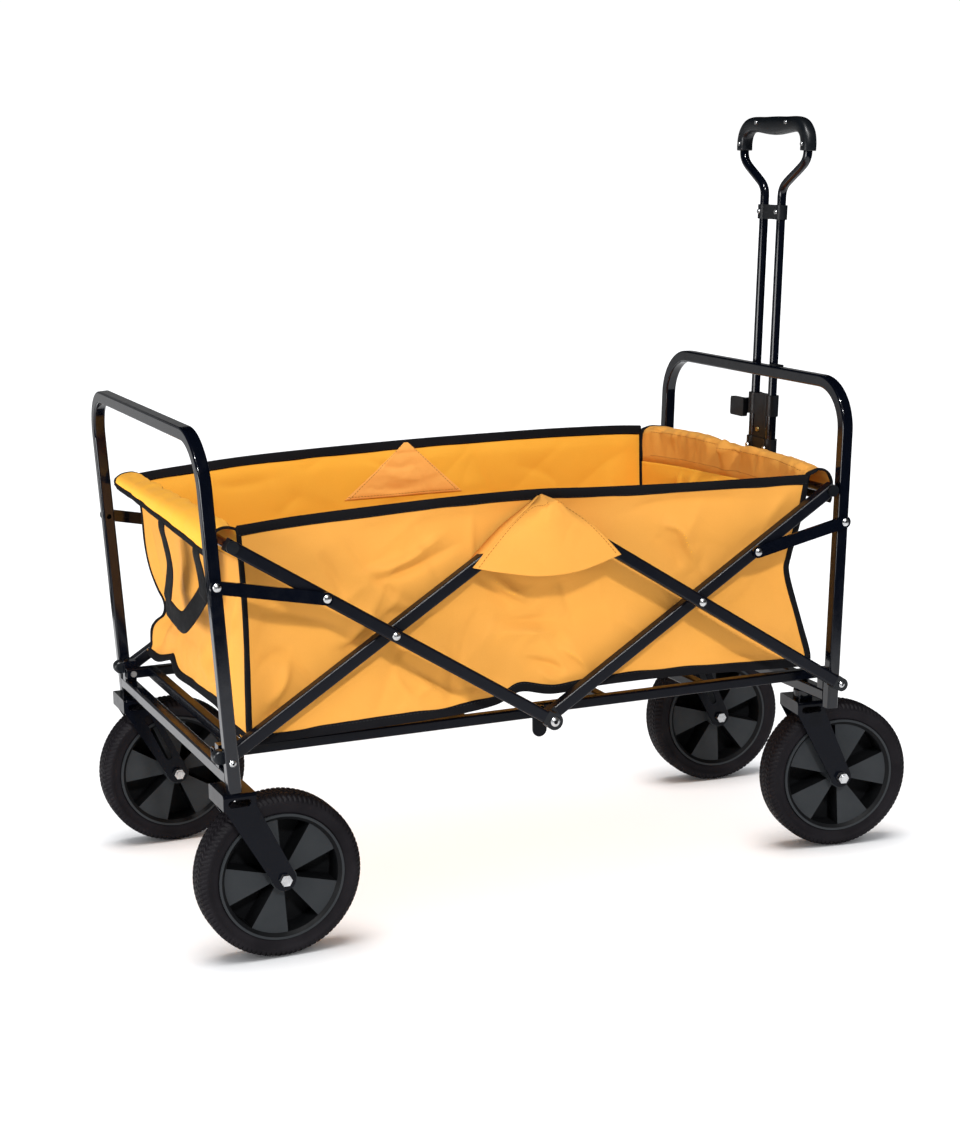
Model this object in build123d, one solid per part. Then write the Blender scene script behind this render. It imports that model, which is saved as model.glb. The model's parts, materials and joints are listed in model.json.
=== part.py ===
from build123d import *
import math
import os

os.makedirs("parts", exist_ok=True)

# ---------------------------------------------------------------- driving dimensions (mm, degrees)
TUBE = 14.0            # square frame tube
WALL = 1.2
CORNER = 2.4           # outer corner radius of the tube
GAP = 0.8              # washer gap between two tubes side by side

ORIGIN_X = 46.736      # the middle of the whole length, ahead of the middle of the frame
HALF_BASE = 369.0      # centre to each lower link pivot, along X
PIVOT_Z = 223.0        # height of the lower link pivots
REST_DEG = 32.27       # slope of the crossed links, open
FOLD_DEG = 77.5        # slope of the crossed links, folded
LINK_HALF = HALF_BASE / 2 / math.cos(math.radians(REST_DEG))
LINK_TOP = 209.0       # crossing to hem rod

OUT_Y = 231.0          # outer layer: rear posts, links A and D
MID_Y = OUT_Y - TUBE - GAP   # next layer: front posts, links B and C
LEAN_REAR = 3.3        # end frames lean outwards
LEAN_FRONT = 2.4
TOP_REAR = 563.0       # height of the rear top bar centre
TOP_FRONT = 571.0
BEND_R = 54.0          # centreline bend of the U-frames
POST_FOOT = 190.5

LOWER_Z = 204.0        # lower cross tubes
UPRIGHT_Y = 202.2      # short inner uprights (12 wide)
RAIL = 12.0            # floor frame tube
RAIL_REAR_Y = 188.8
RAIL_FRONT_Y = 174.8

BRACE_W = 14.0
BRACE_T = 4.0
BRACE_S = 0.42         # brace joint, share of the half link above the crossing
PIN_D = 6.0
PIN_CLEAR = 0.06

WHEEL_R = 90.0
TYRE_W = 40.0
RIM_R = 66.0
FLANGE_R = 69.5
HUB_R = 14.0
HUB_L = 49.0
AXLE_D = 8.0
HEX = 11.4             # across the flats of bolts and nuts
FORK_IN = 50.0         # between the fork legs
SHEET = 2.5
CROWN_X = 36.0

REAR_AXLE_X = -318.0
REAR_WHEEL_Y = 214.0
KING_X = 371.0
KING_Y = 150.0
TRAIL = 40.0
SWIVEL_NEAR = -8.0     # resting swivel of the front casters
SWIVEL_FAR = -4.0

HANDLE_X = 387.0       # handle plane at the pivot height
HANDLE_PIN_Z = 212.0
HANDLE_HALF = 20.3     # half spacing of the two handle tubes
OUTER_D = 12.8
INNER_D = 10.8
ROD_D = 10.0

PANEL_Y = 205.6        # centre of the side fabric
PANEL_T = 2.4
PANEL_TOP = 468.0
PANEL_LOW = 239.0

rad = math.radians
C0, S0 = math.cos(rad(REST_DEG)), math.sin(rad(REST_DEG))
C1, S1 = math.cos(rad(FOLD_DEG)), math.sin(rad(FOLD_DEG))

# pivot points in the X-Z plane
PL = (-HALF_BASE, PIVOT_Z)
PR = (HALF_BASE, PIVOT_Z)
X1 = (-HALF_BASE / 2, PIVOT_Z + LINK_HALF * S0)
X2 = (HALF_BASE / 2, PIVOT_Z + LINK_HALF * S0)
BC = (0.0, PIVOT_Z)
TC = (0.0, PIVOT_Z + 2 * LINK_HALF * S0)
TL = (X1[0] - LINK_TOP * C0, X1[1] + LINK_TOP * S0)
TR = (-TL[0], TL[1])


def brace_height(lean):
    """Height of the brace joint on the post above the pivot, so that the brace closes both open and folded."""
    t = math.tan(rad(lean))
    open_ = (LINK_HALF * (1 - BRACE_S) * C0, LINK_HALF * (1 + BRACE_S) * S0)
    shut = (LINK_HALF * (1 - BRACE_S) * C1, LINK_HALF * (1 + BRACE_S) * S1)
    lo, hi = 120.0, 260.0
    for _ in range(60):
        h = (lo + hi) / 2
        a = math.hypot(open_[0] + h * t, open_[1] - h)
        b = math.hypot(shut[0] + h * t, shut[1] - h)
        if b > a:
            lo = h
        else:
            hi = h
    return h


H_REAR = brace_height(LEAN_REAR)
H_FRONT = brace_height(LEAN_FRONT)
EL = (-HALF_BASE - H_REAR * math.tan(rad(LEAN_REAR)), PIVOT_Z + H_REAR)
ER = (X1[0] - BRACE_S * LINK_HALF * C0, X1[1] + BRACE_S * LINK_HALF * S0)
FR = (HALF_BASE + H_FRONT * math.tan(rad(LEAN_FRONT)), PIVOT_Z + H_FRONT)
FL = (-ER[0], ER[1])


# ---------------------------------------------------------------- helpers
def far(shape):
    return mirror(shape, about=Plane.XZ)


def solids_of(*things):
    out = []
    for t in things:
        if isinstance(t, (list, tuple)):
            out += solids_of(*t)
        else:
            out += list(t.solids())
    return out


def save(name, *things):
    parts = [Pos(-ORIGIN_X, 0, 0) * s for s in solids_of(*things)]
    shape = parts[0] if len(parts) == 1 else Compound(children=parts)
    shape.label = name
    export_step(shape, f"parts/{name}.step")


def rod_y(x, z, y0, y1, d):
    """Round bar along Y."""
    return Plane(origin=(x, min(y0, y1), z), x_dir=(1, 0, 0), z_dir=(0, 1, 0)) * extrude_disc(d, abs(y1 - y0))


def extrude_disc(d, length):
    return extrude(Circle(d / 2), amount=length)


def rod_z(x, y, z0, z1, d):
    return Pos(x, y, z0) * extrude_disc(d, z1 - z0)


def block(x0, x1, y0, y1, z0, z1):
    return Pos((x0 + x1) / 2, (y0 + y1) / 2, (z0 + z1) / 2) * Box(x1 - x0, y1 - y0, z1 - z0)


def square_tube(p, q, y, side=TUBE, wall=WALL, corner=CORNER):
    """Hollow tube from p to q, both (x, z), centred on y."""
    dx, dz = q[0] - p[0], q[1] - p[1]
    n = math.hypot(dx, dz)
    pl = Plane(origin=(p[0], y, p[1]), x_dir=(0, 1, 0), z_dir=(dx / n, 0, dz / n))
    ring = RectangleRounded(side, side, corner) - RectangleRounded(
        side - 2 * wall, side - 2 * wall, max(corner - wall, 0.6)
    )
    return pl * extrude(ring, amount=n)


def tube_y(x, z, y0, y1, side=TUBE, wall=WALL, corner=CORNER):
    """Hollow tube along Y."""
    pl = Plane(origin=(x, y0, z), x_dir=(1, 0, 0), z_dir=(0, 1, 0))
    ring = RectangleRounded(side, side, corner) - RectangleRounded(
        side - 2 * wall, side - 2 * wall, max(corner - wall, 0.6)
    )
    return pl * extrude(ring, amount=y1 - y0)


def drill_y(shape, pts, d):
    for x, z in pts:
        shape = shape - rod_y(x, z, -260, 260, d)
    return shape


def rivet(x, z, y_head, y_tail, d=PIN_D, head_d=9.0, head_h=2.4, tail_d=9.0, tail_h=1.5, dimple=0.0):
    """Pin along Y with a domed head at y_head (pointing away from y_tail) and a flat tail. dimple is the width of a hollow
    in the head, as a tubular rivet has."""
    n = abs(y_head - y_tail)
    lines = [(0, head_h), (0, -n - tail_h)]
    if tail_h:
        lines += [(tail_d / 2, -n - tail_h), (tail_d / 2, -n)]
    lines += [(d / 2, -n - (0 if tail_h else tail_h)), (d / 2, 0), (head_d / 2, 0), (head_d / 2, head_h * 0.25)]
    rise = head_h * 0.75
    ball = ((head_d / 2) ** 2 + rise**2) / (2 * rise)
    half = math.asin(head_d / 2 / ball) / 2
    arc = ThreePointArc(
        lines[-1], (ball * math.sin(half), head_h - ball + ball * math.cos(half)), (0, head_h)
    )
    body = revolve(make_face(Polyline(*lines) + arc), Axis.Y)
    if dimple:
        body = body - Pos(0, head_h, 0) * Rot(90, 0, 0) * Cylinder(dimple / 2, 1.8)
    turn = 0 if y_head > y_tail else 180
    return Pos(x, y_head, z) * Rot(0, 0, turn) * body


def along(p, q, d):
    """Point at distance d from p towards q."""
    n = math.hypot(q[0] - p[0], q[1] - p[1])
    return (p[0] + (q[0] - p[0]) * d / n, p[1] + (q[1] - p[1]) * d / n)


def end_fitting(pivot, inward, y, start, width=15.6, thick=13.2, plug=14.0, hole=PIN_D + 2 * PIN_CLEAR, over=0.0, boss=0.0, knob=None):
    """Moulded tube end: a rounded lug round the pivot and a plug in the tube, which ends at start. inward is a point further up
    the tube. over is how far the round end lies past the pivot, boss a wider disc at the pivot, and knob (dx, dz, r) a round
    nose beside it."""
    n = math.hypot(inward[0] - pivot[0], inward[1] - pivot[1])
    ux, uz = (inward[0] - pivot[0]) / n, (inward[1] - pivot[1]) / n
    pl = Plane(origin=(pivot[0], y - thick / 2, pivot[1]), x_dir=(ux, 0, uz), z_dir=(0, 1, 0))
    sk = Pos(-over, 0) * Circle(width / 2) + Pos((start - over) / 2, 0) * Rectangle(start + over, width)
    if boss:
        sk = sk + Circle(boss / 2)
    lug = pl * extrude(sk, amount=thick)
    if knob:
        dx, dz, r = knob
        nose = Plane(origin=(pivot[0] + dx, y - thick / 2, pivot[1] + dz), x_dir=(1, 0, 0), z_dir=(0, 1, 0)) * extrude(Circle(r), amount=thick)
        lug = lug + fillet(nose.edges(), 3.4)
    inner = TUBE - 2 * WALL - 0.5
    pp = Plane(origin=(pivot[0] + ux * start, y, pivot[1] + uz * start), x_dir=(0, 1, 0), z_dir=(ux, 0, uz))
    lug = lug + pp * extrude(RectangleRounded(inner, inner, 1.0), amount=plug)
    return drill_y(lug, [pivot], hole)


def end_cap(tip, inward, y, length=3.0, plug=10.0):
    """Flat moulded cap that closes a tube end at tip."""
    n = math.hypot(inward[0] - tip[0], inward[1] - tip[1])
    ux, uz = (inward[0] - tip[0]) / n, (inward[1] - tip[1]) / n
    base = Plane(origin=(tip[0] - ux * length, y, tip[1] - uz * length), x_dir=(0, 1, 0), z_dir=(ux, 0, uz))
    cap = base * extrude(RectangleRounded(TUBE, TUBE, CORNER), amount=length)
    inner = TUBE - 2 * WALL - 0.5
    plug_pl = Plane(origin=(tip[0], y, tip[1]), x_dir=(0, 1, 0), z_dir=(ux, 0, uz))
    return cap + plug_pl * extrude(RectangleRounded(inner, inner, 1.0), amount=plug)


# ---------------------------------------------------------------- end frames
def u_frame(half_y, top_z, lean, sign):
    """Bent square tube: two posts and the top bar, leaning outwards. sign is -1 for the rear, +1 for the front."""
    up = (top_z - PIVOT_Z) / math.cos(rad(lean))
    down = -(PIVOT_Z - POST_FOOT) / math.cos(rad(lean))
    r = BEND_R
    k = math.sqrt(0.5)
    path = Wire(
        [
            Edge.make_line((0, -half_y, down), (0, -half_y, up - r)),
            Edge.make_three_point_arc(
                (0, -half_y, up - r), (0, -half_y + r - r * k, up - r + r * k), (0, -half_y + r, up)
            ),
            Edge.make_line((0, -half_y + r, up), (0, half_y - r, up)),
            Edge.make_three_point_arc(
                (0, half_y - r, up), (0, half_y - r + r * k, up - r + r * k), (0, half_y, up - r)
            ),
            Edge.make_line((0, half_y, up - r), (0, half_y, down)),
        ]
    )
    foot = Plane(origin=(0, -half_y, down), x_dir=(1, 0, 0), z_dir=(0, 0, 1))
    outer = sweep(foot * RectangleRounded(TUBE, TUBE, CORNER), path=path)
    i = TUBE - 2 * WALL
    inner = sweep(foot * RectangleRounded(i, i, CORNER - WALL), path=path)
    frame = outer - inner
    return Pos(sign * HALF_BASE, 0, PIVOT_Z) * Rot(0, sign * lean, 0) * frame


rear_u = u_frame(OUT_Y, TOP_REAR, LEAN_REAR, -1)
rear_u = drill_y(rear_u, [PL], PIN_D)
rear_u = drill_y(rear_u, [EL], PIN_D + 2 * PIN_CLEAR)
save("rear_u_frame", rear_u)

front_u = u_frame(MID_Y, TOP_FRONT, LEAN_FRONT, 1)
front_u = drill_y(front_u, [PR], PIN_D)
front_u = drill_y(front_u, [FR], PIN_D + 2 * PIN_CLEAR)
save("front_u_frame", front_u)


def lower_x(sign, z):
    lean = LEAN_REAR if sign < 0 else LEAN_FRONT
    return sign * (HALF_BASE + (z - PIVOT_Z) * math.tan(rad(lean)))


REAR_LOW_X = lower_x(-1, LOWER_Z)
FRONT_LOW_X = lower_x(1, LOWER_Z)

# lower cross tube and the two short uprights welded on it
rear_cross = tube_y(REAR_LOW_X, LOWER_Z, -(OUT_Y - TUBE / 2), OUT_Y - TUBE / 2)
up_foot = LOWER_Z + TUBE / 2
rear_upright = drill_y(
    block(-HALF_BASE - 7, -HALF_BASE + 7, -UPRIGHT_Y - 6, -UPRIGHT_Y + 6, up_foot, PIVOT_Z + 13), [PL], PIN_D
)
save("rear_lower_frame", rear_cross, rear_upright, far(rear_upright))

front_cross = tube_y(FRONT_LOW_X, LOWER_Z, -(MID_Y - TUBE / 2), MID_Y - TUBE / 2)
for s in (-1, 1):
    front_cross = front_cross - rod_z(KING_X, s * KING_Y, 180, 230, AXLE_D + 0.16)
front_upright = drill_y(
    block(HALF_BASE - 7, HALF_BASE + 7, -UPRIGHT_Y - 6, -UPRIGHT_Y + 6, up_foot, PIVOT_Z + 13), [PR], PIN_D
)
save("front_lower_frame", front_cross, front_upright, far(front_upright))

# pins at the lower pivots
rear_pin = rivet(PL[0], PL[1], -OUT_Y - 7, -RAIL_REAR_Y + 6 + 0.4, head_d=7.4, tail_d=7.4, dimple=2.8)
save("rear_pivot_rivets", rear_pin, far(rear_pin))
front_pin = rivet(PR[0], PR[1], -OUT_Y - 7 - 0.4, -RAIL_FRONT_Y + 6 + 0.4, head_d=7.4, tail_d=7.4, dimple=2.8)
save("front_pivot_rivets", front_pin, far(front_pin))


# ---------------------------------------------------------------- forks
def fork(crown_x, crown_z, axle_x, lip, deep):
    """Bent sheet fork, wheel plane at y = 0: crown plate, folded edges, deeper on the side away from the axle, and two raked
    legs, the inner one (+y) with a long window."""
    half = FORK_IN / 2 + SHEET
    x0, x1 = crown_x - CROWN_X / 2, crown_x + CROWN_X / 2
    plate = block(x0, x1, -half, half, crown_z - SHEET, crown_z)
    lip0, lip1 = (deep, lip) if axle_x > crown_x else (lip, deep)
    fold = block(x0, x0 + SHEET, -half, half, crown_z - lip0, crown_z)
    fold2 = block(x1 - SHEET, x1, -half, half, crown_z - lip1, crown_z)
    ax, az = axle_x, WHEEL_R
    tx, tz = crown_x, crown_z - SHEET
    dx, dz = ax - tx, az - tz
    n = math.hypot(dx, dz)
    ux, uz = dx / n, dz / n
    px, pz = -uz, ux
    end_r = 12.5
    a = (ax + px * end_r, az + pz * end_r)
    b = (ax - px * end_r, az - pz * end_r)
    tip = (ax + ux * end_r, az + uz * end_r)
    left = (x0, crown_z)
    right = (x1, crown_z)
    low_l = (x0, crown_z - 14)
    low_r = (x1, crown_z - 14)
    if a[0] > b[0]:
        a, b = b, a
    profile = make_face(
        [
            Edge.make_line((left[0], 0, left[1]), (low_l[0], 0, low_l[1])),
            Edge.make_line((low_l[0], 0, low_l[1]), (a[0], 0, a[1])),
            Edge.make_three_point_arc((a[0], 0, a[1]), (tip[0], 0, tip[1]), (b[0], 0, b[1])),
            Edge.make_line((b[0], 0, b[1]), (low_r[0], 0, low_r[1])),
            Edge.make_line((low_r[0], 0, low_r[1]), (right[0], 0, right[1])),
            Edge.make_line((right[0], 0, right[1]), (left[0], 0, left[1])),
        ]
    )
    leg = extrude(profile, amount=SHEET, dir=(0, 1, 0))
    near = Pos(0, -half, 0) * leg
    back = Pos(0, half - SHEET, 0) * leg
    body = plate + fold + fold2 + near + back
    bends = [e for e in body.edges() if abs(e.center().Z - crown_z) < 0.01 and abs(abs(e.center().Y) - half) < 0.01 and e.length > 30]
    body = fillet(bends, 3.4)
    slot = Plane(origin=(crown_x, -60, crown_z - 10.0), x_dir=(1, 0, 0), z_dir=(0, 1, 0)) * extrude(SlotOverall(25.0, 8.0), amount=120)
    w0, w1 = 22.0, n - 21.0
    window = Plane(
        origin=(tx + ux * (w0 + w1) / 2, half - SHEET - 1, tz + uz * (w0 + w1) / 2), x_dir=(ux, 0, uz), z_dir=(0, 1, 0)
    ) * extrude(SlotOverall(w1 - w0, 8.6), amount=SHEET + 2)
    return body - slot - window - rod_y(ax, az, -60, 60, AXLE_D)


def axle(head_out):
    """Bolt, nut and washers along Y for a wheel at the origin. head_out: +1 puts the head at +y, -1 at -y."""
    half = FORK_IN / 2 + SHEET
    bolt = rod_y(0, 0, -half - 9, half, AXLE_D)
    head = Plane(origin=(0, half, 0), x_dir=(1, 0, 0), z_dir=(0, 1, 0)) * extrude(
        RegularPolygon(HEX / math.sqrt(3), 6), amount=6.0
    )
    bolt = bolt + head
    nut = Plane(origin=(0, -half - 7.6, 0), x_dir=(1, 0, 0), z_dir=(0, 1, 0)) * extrude(
        RegularPolygon(HEX / math.sqrt(3), 6) - Circle(AXLE_D / 2), amount=7.6
    )
    both = [bolt, nut]
    if head_out < 0:
        both = [Rot(0, 0, 180) * p for p in both]
    return both


REAR_CROWN_X = lower_x(-1, POST_FOOT) + 3.0
rear_fork = Pos(0, -REAR_WHEEL_Y, 0) * fork(REAR_CROWN_X, POST_FOOT - 0.45, REAR_AXLE_X, 8.0, 17.0)
save("rear_forks", rear_fork, far(rear_fork))

rear_axle = [Pos(REAR_AXLE_X, -REAR_WHEEL_Y, WHEEL_R) * p for p in axle(-1)]
save("rear_axle_bolts", rear_axle, [far(p) for p in rear_axle])


# ---------------------------------------------------------------- wheels
def rim():
    """Moulded wheel: barrel with two flanges, hub, and a web that alternates between the two faces."""
    barrel = revolve(
        make_face(
            Polyline(
                (63.2, -16.0), (66.8, -19.5), (FLANGE_R, -19.5), (FLANGE_R, -17.0), (RIM_R, -16.8),
                (RIM_R, 16.8), (FLANGE_R, 17.0), (FLANGE_R, 19.5), (66.8, 19.5), (63.2, 16.0), (63.2, -16.0),
            )
        ),
        Axis.Y,
    )
    hub = Rot(90, 0, 0) * Cylinder(HUB_R, HUB_L)
    body = barrel + hub
    pitch = 36.0
    for k in range(10):
        a0, a1 = rad(k * pitch), rad((k + 1) * pitch)
        am = (a0 + a1) / 2
        r0, r1 = HUB_R - 2, 64.4
        face = make_face(
            [
                Edge.make_line((r0 * math.cos(a0), 0, r0 * math.sin(a0)), (r1 * math.cos(a0), 0, r1 * math.sin(a0))),
                Edge.make_three_point_arc(
                    (r1 * math.cos(a0), 0, r1 * math.sin(a0)),
                    (r1 * math.cos(am), 0, r1 * math.sin(am)),
                    (r1 * math.cos(a1), 0, r1 * math.sin(a1)),
                ),
                Edge.make_line((r1 * math.cos(a1), 0, r1 * math.sin(a1)), (r0 * math.cos(a1), 0, r0 * math.sin(a1))),
                Edge.make_three_point_arc(
                    (r0 * math.cos(a1), 0, r0 * math.sin(a1)),
                    (r0 * math.cos(am), 0, r0 * math.sin(am)),
                    (r0 * math.cos(a0), 0, r0 * math.sin(a0)),
                ),
            ]
        )
        plate = extrude(face, amount=3.0, dir=(0, 1, 0))
        body = body + Pos(0, -15.5 if k % 2 == 0 else 12.5, 0) * plate
        wall = Pos((r0 + r1) / 2, 0, 0) * Box(r1 - r0, 31.0, 2.4)
        body = body + Rot(0, -math.degrees(a0), 0) * wall
    return body - rod_y(0, 0, -40, 40, AXLE_D + 0.16)


def tyre():
    h, w = WHEEL_R, TYRE_W / 2
    s = 9.0
    k = math.sqrt(0.5)
    return revolve(
        make_face(
            Polyline((RIM_R, -16.2), (72.0, -18.0), (h - s - 2, -w))
            + Line((h - s - 2, -w), (h - s, -w))
            + ThreePointArc((h - s, -w), (h - s + s * k, -w + s - s * k), (h, -w + s))
            + Line((h, -w + s), (h, w - s))
            + ThreePointArc((h, w - s), (h - s + s * k, w - s + s * k), (h - s, w))
            + Polyline((h - s, w), (h - s - 2, w), (72.0, 18.0), (RIM_R, 16.2), (RIM_R, -16.2))
        ),
        Axis.Y,
    )


wheel_rim, wheel_tyre = rim(), tyre()
# bead seat: the tyre's side stays clear of the flange
wheel_tyre = wheel_tyre - (
    revolve(make_face(Polyline((60, -22), (FLANGE_R + 0.05, -22), (FLANGE_R + 0.05, -16.7), (60, -16.7), (60, -22))), Axis.Y)
    + revolve(make_face(Polyline((60, 16.7), (FLANGE_R + 0.05, 16.7), (FLANGE_R + 0.05, 22), (60, 22), (60, 16.7))), Axis.Y)
)


def front_place(side):
    """Location of a wheel-centred shape on a front caster. side -1 near, +1 far."""
    yaw = SWIVEL_NEAR if side < 0 else SWIVEL_FAR
    return Pos(KING_X, side * KING_Y, 0) * Rot(0, 0, yaw) * Pos(-KING_X, 0, 0)


WHEEL_AT = {
    "rear_near": Pos(REAR_AXLE_X, -REAR_WHEEL_Y, WHEEL_R) * Rot(0, -21.5, 0),
    "rear_far": Pos(REAR_AXLE_X, REAR_WHEEL_Y, WHEEL_R) * Rot(0, -5, 0),
    "front_near": front_place(-1) * Pos(KING_X + TRAIL, 0, WHEEL_R) * Rot(0, 15.5, 0),
    "front_far": front_place(1) * Pos(KING_X + TRAIL, 0, WHEEL_R) * Rot(0, -20, 0),
}
for key, at in WHEEL_AT.items():
    save(f"wheel_{key}_rim", at * wheel_rim)
    save(f"wheel_{key}_tyre", at * wheel_tyre)

# front casters
CASTER_TOP = 187.5
caster = fork(KING_X, CASTER_TOP, KING_X + TRAIL, 6.0, 15.0) - rod_z(KING_X, 0, 150, 220, AXLE_D)
king_head = Pos(KING_X, 0, CASTER_TOP - SHEET - 4.5) * extrude(RegularPolygon(HEX / math.sqrt(3), 6), amount=4.5)
king = rod_z(KING_X, 0, CASTER_TOP - SHEET - 4.5, LOWER_Z + 7 + 8.5, AXLE_D) + king_head
king_washer = rod_z(KING_X, 0, CASTER_TOP, LOWER_Z - 7 - 0.4, 23.0) - rod_z(KING_X, 0, 150, 230, AXLE_D)
king_nut = Pos(KING_X, 0, LOWER_Z + 7 + 0.4) * extrude(RegularPolygon(HEX / math.sqrt(3), 6) - Circle(AXLE_D / 2), amount=7.0)
for name, side in (("near", -1), ("far", 1)):
    at = front_place(side)
    save(f"caster_{name}_fork", at * (caster if side < 0 else far(caster)))
    ax = [at * (Pos(KING_X + TRAIL, 0, WHEEL_R) * p) for p in axle(1 if side < 0 else -1)]
    save(f"caster_{name}_bolts", ax, [at * p for p in (king, king_washer, king_nut)])


# ---------------------------------------------------------------- crossed links
HOLE = PIN_D + 2 * PIN_CLEAR
# A: hem rod end to lower centre, outer layer
a_tip = along(TL, X1, -3.0)
a_end = along(BC, X1, 12.4)
link_a = drill_y(square_tube(a_tip, a_end, -OUT_Y), [X1], PIN_D)
a_cap = end_cap(a_tip, X1, -OUT_Y, 2.0)
a_fit = end_fitting(BC, X1, -OUT_Y, 12.4, thick=TUBE, hole=PIN_D, boss=19.4)
a_button = rod_y(TL[0], TL[1], -OUT_Y - 7, -OUT_Y - 10.5, 13.5)
# B: rear pivot to upper centre, second layer
b_start = along(PL, X1, 8.6)
b_end = along(TC, X1, -8.0)
link_b = drill_y(square_tube(b_start, b_end, -MID_Y), [X1, TC], HOLE)
b_fit = end_fitting(PL, X1, -MID_Y, 8.6, width=16.4, knob=(-8.5, 2.8, 8.0))
# C: lower centre to front hem rod, second layer
c_start = along(BC, X2, 12.0)
c_tip = along(TR, X2, -3.0)
link_c = drill_y(square_tube(c_start, c_tip, -MID_Y), [X2], HOLE)
c_fit = end_fitting(BC, X2, -MID_Y, 12.0)
c_cap = end_cap(c_tip, X2, -MID_Y, 2.0)
c_button = rod_y(TR[0], TR[1], -MID_Y - 7, -MID_Y - 10.5, 13.5)
# D: upper centre to front pivot, outer layer
d_start = along(PR, X2, 8.6)
d_end = along(TC, X2, -8.0)
link_d = drill_y(square_tube(d_start, d_end, -OUT_Y), [X2, TC], PIN_D)
d_fit = end_fitting(PR, X2, -OUT_Y, 8.6, over=1.6)

for name, group in (
    ("link_a", (link_a, a_cap, a_fit, a_button)),
    ("link_b", (link_b, b_fit)),
    ("link_c", (link_c, c_fit, c_cap, c_button)),
    ("link_d", (link_d, d_fit)),
):
    save(f"{name}_near", *group)
    save(f"{name}_far", *[far(g) for g in group])

tail = -MID_Y + 7 + 0.4
a_rivets = (rivet(X1[0], X1[1], -OUT_Y - 7, tail), rivet(BC[0], BC[1], -OUT_Y - 7, tail, head_d=10.8, head_h=2.6, dimple=4.8))
d_rivets = (rivet(X2[0], X2[1], -OUT_Y - 7, tail), rivet(TC[0], TC[1], -OUT_Y - 7, tail))
save("link_a_near_rivets", *a_rivets)
save("link_a_far_rivets", *[far(r) for r in a_rivets])
save("link_d_near_rivets", *d_rivets)
save("link_d_far_rivets", *[far(r) for r in d_rivets])


# ---------------------------------------------------------------- braces
def brace(p, q, y_in):
    """Flat bar with rounded ends from the post joint p to the link joint q, its inner face at y_in, with its two rivets."""
    n = math.hypot(q[0] - p[0], q[1] - p[1])
    pl = Plane(origin=(p[0], y_in - BRACE_T, p[1]), x_dir=((q[0] - p[0]) / n, 0, (q[1] - p[1]) / n), z_dir=(0, 1, 0))
    bar = pl * extrude(Pos(n / 2, 0) * SlotCenterToCenter(n, BRACE_W), amount=BRACE_T)
    bar = drill_y(bar, [p, q], PIN_D)
    post = rivet(p[0], p[1], y_in - BRACE_T, y_in + 6.0, head_d=9.0, tail_h=0)
    end = rivet(q[0], q[1], y_in - BRACE_T, y_in, head_d=9.0, tail_h=0)
    return bar, post, end


rear_brace = brace(EL, ER, -OUT_Y - 7 - 0.5)
front_brace = brace(FR, FL, -MID_Y - 7 - 0.5)
save("brace_rear_near", *rear_brace)
save("brace_rear_far", *[far(g) for g in rear_brace])
save("brace_front_near", *front_brace)
save("brace_front_far", *[far(g) for g in front_brace])

# ---------------------------------------------------------------- hem rods, carried by links A and C of the near side
rear_rod = rod_y(TL[0], TL[1], -OUT_Y + 7, OUT_Y - 7 - 0.6, ROD_D)
front_rod = rod_y(TR[0], TR[1], -MID_Y + 7, MID_Y - 7 - 0.6, ROD_D)
save("rear_hem_rod", rear_rod)
save("front_hem_rod", front_rod)


# ---------------------------------------------------------------- floor frame, two halves hinged to the end frames
def floor_half(sign, y):
    """Side rails and three cross bars. sign -1 is the rear half."""
    px = sign * HALF_BASE
    outer_end, inner_end = px + sign * 8.0, -sign * 8.0
    x0, x1 = min(outer_end, inner_end), max(outer_end, inner_end)
    rail = square_tube((x0, PIVOT_Z), (x1, PIVOT_Z), -y, side=RAIL, wall=1.2, corner=2.0)
    rail = drill_y(rail, [(px, PIVOT_Z)], HOLE)
    bars = []
    for d in (24.0, 150.0, 279.0):
        bars.append(tube_y(px - sign * d, PIVOT_Z, -y + RAIL / 2, y - RAIL / 2, side=RAIL, wall=1.2, corner=2.0))
    return [rail, far(rail)] + bars


rear_floor = floor_half(-1, RAIL_REAR_Y)
front_floor = floor_half(1, RAIL_FRONT_Y)
hinge_plate = Plane(origin=(0, -RAIL_REAR_Y - 8, PIVOT_Z - 9.5), x_dir=(0, 0, 1), z_dir=(0, 1, 0)) * extrude(
    SlotCenterToCenter(19.0, 17.0), amount=2.0
)
hinge_plate = drill_y(hinge_plate, [(0, PIVOT_Z)], PIN_D)
stub = rivet(0, PIVOT_Z, -RAIL_REAR_Y - 8, -RAIL_REAR_Y + 5.6, head_d=12, head_h=4.0, tail_h=0)
rear_floor = [drill_y(rear_floor[0], [(0, PIVOT_Z)], PIN_D), drill_y(rear_floor[1], [(0, PIVOT_Z)], PIN_D)] + rear_floor[2:]
save("floor_rear_frame", *rear_floor, hinge_plate, far(hinge_plate), stub, far(stub))
save("floor_front_frame", *front_floor)

pad_z = PIVOT_Z + RAIL / 2 + 0.3
save("floor_rear_pad", block(-HALF_BASE + 20, -84, -193.5, 193.5, pad_z, pad_z + 6.0))
save("floor_front_pad", block(84, HALF_BASE - 20, -193.5, 193.5, pad_z, pad_z + 6.0))

# ---------------------------------------------------------------- handle
LEAN_H = LEAN_FRONT
HX0 = HANDLE_X + (HANDLE_PIN_Z - PIVOT_Z) * math.tan(rad(LEAN_H))


def on_handle(shape):
    """From handle coordinates (pin axis at the origin, tubes along +Z) to the wagon."""
    return Pos(HX0, 0, HANDLE_PIN_Z) * Rot(0, LEAN_H, 0) * shape


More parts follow.
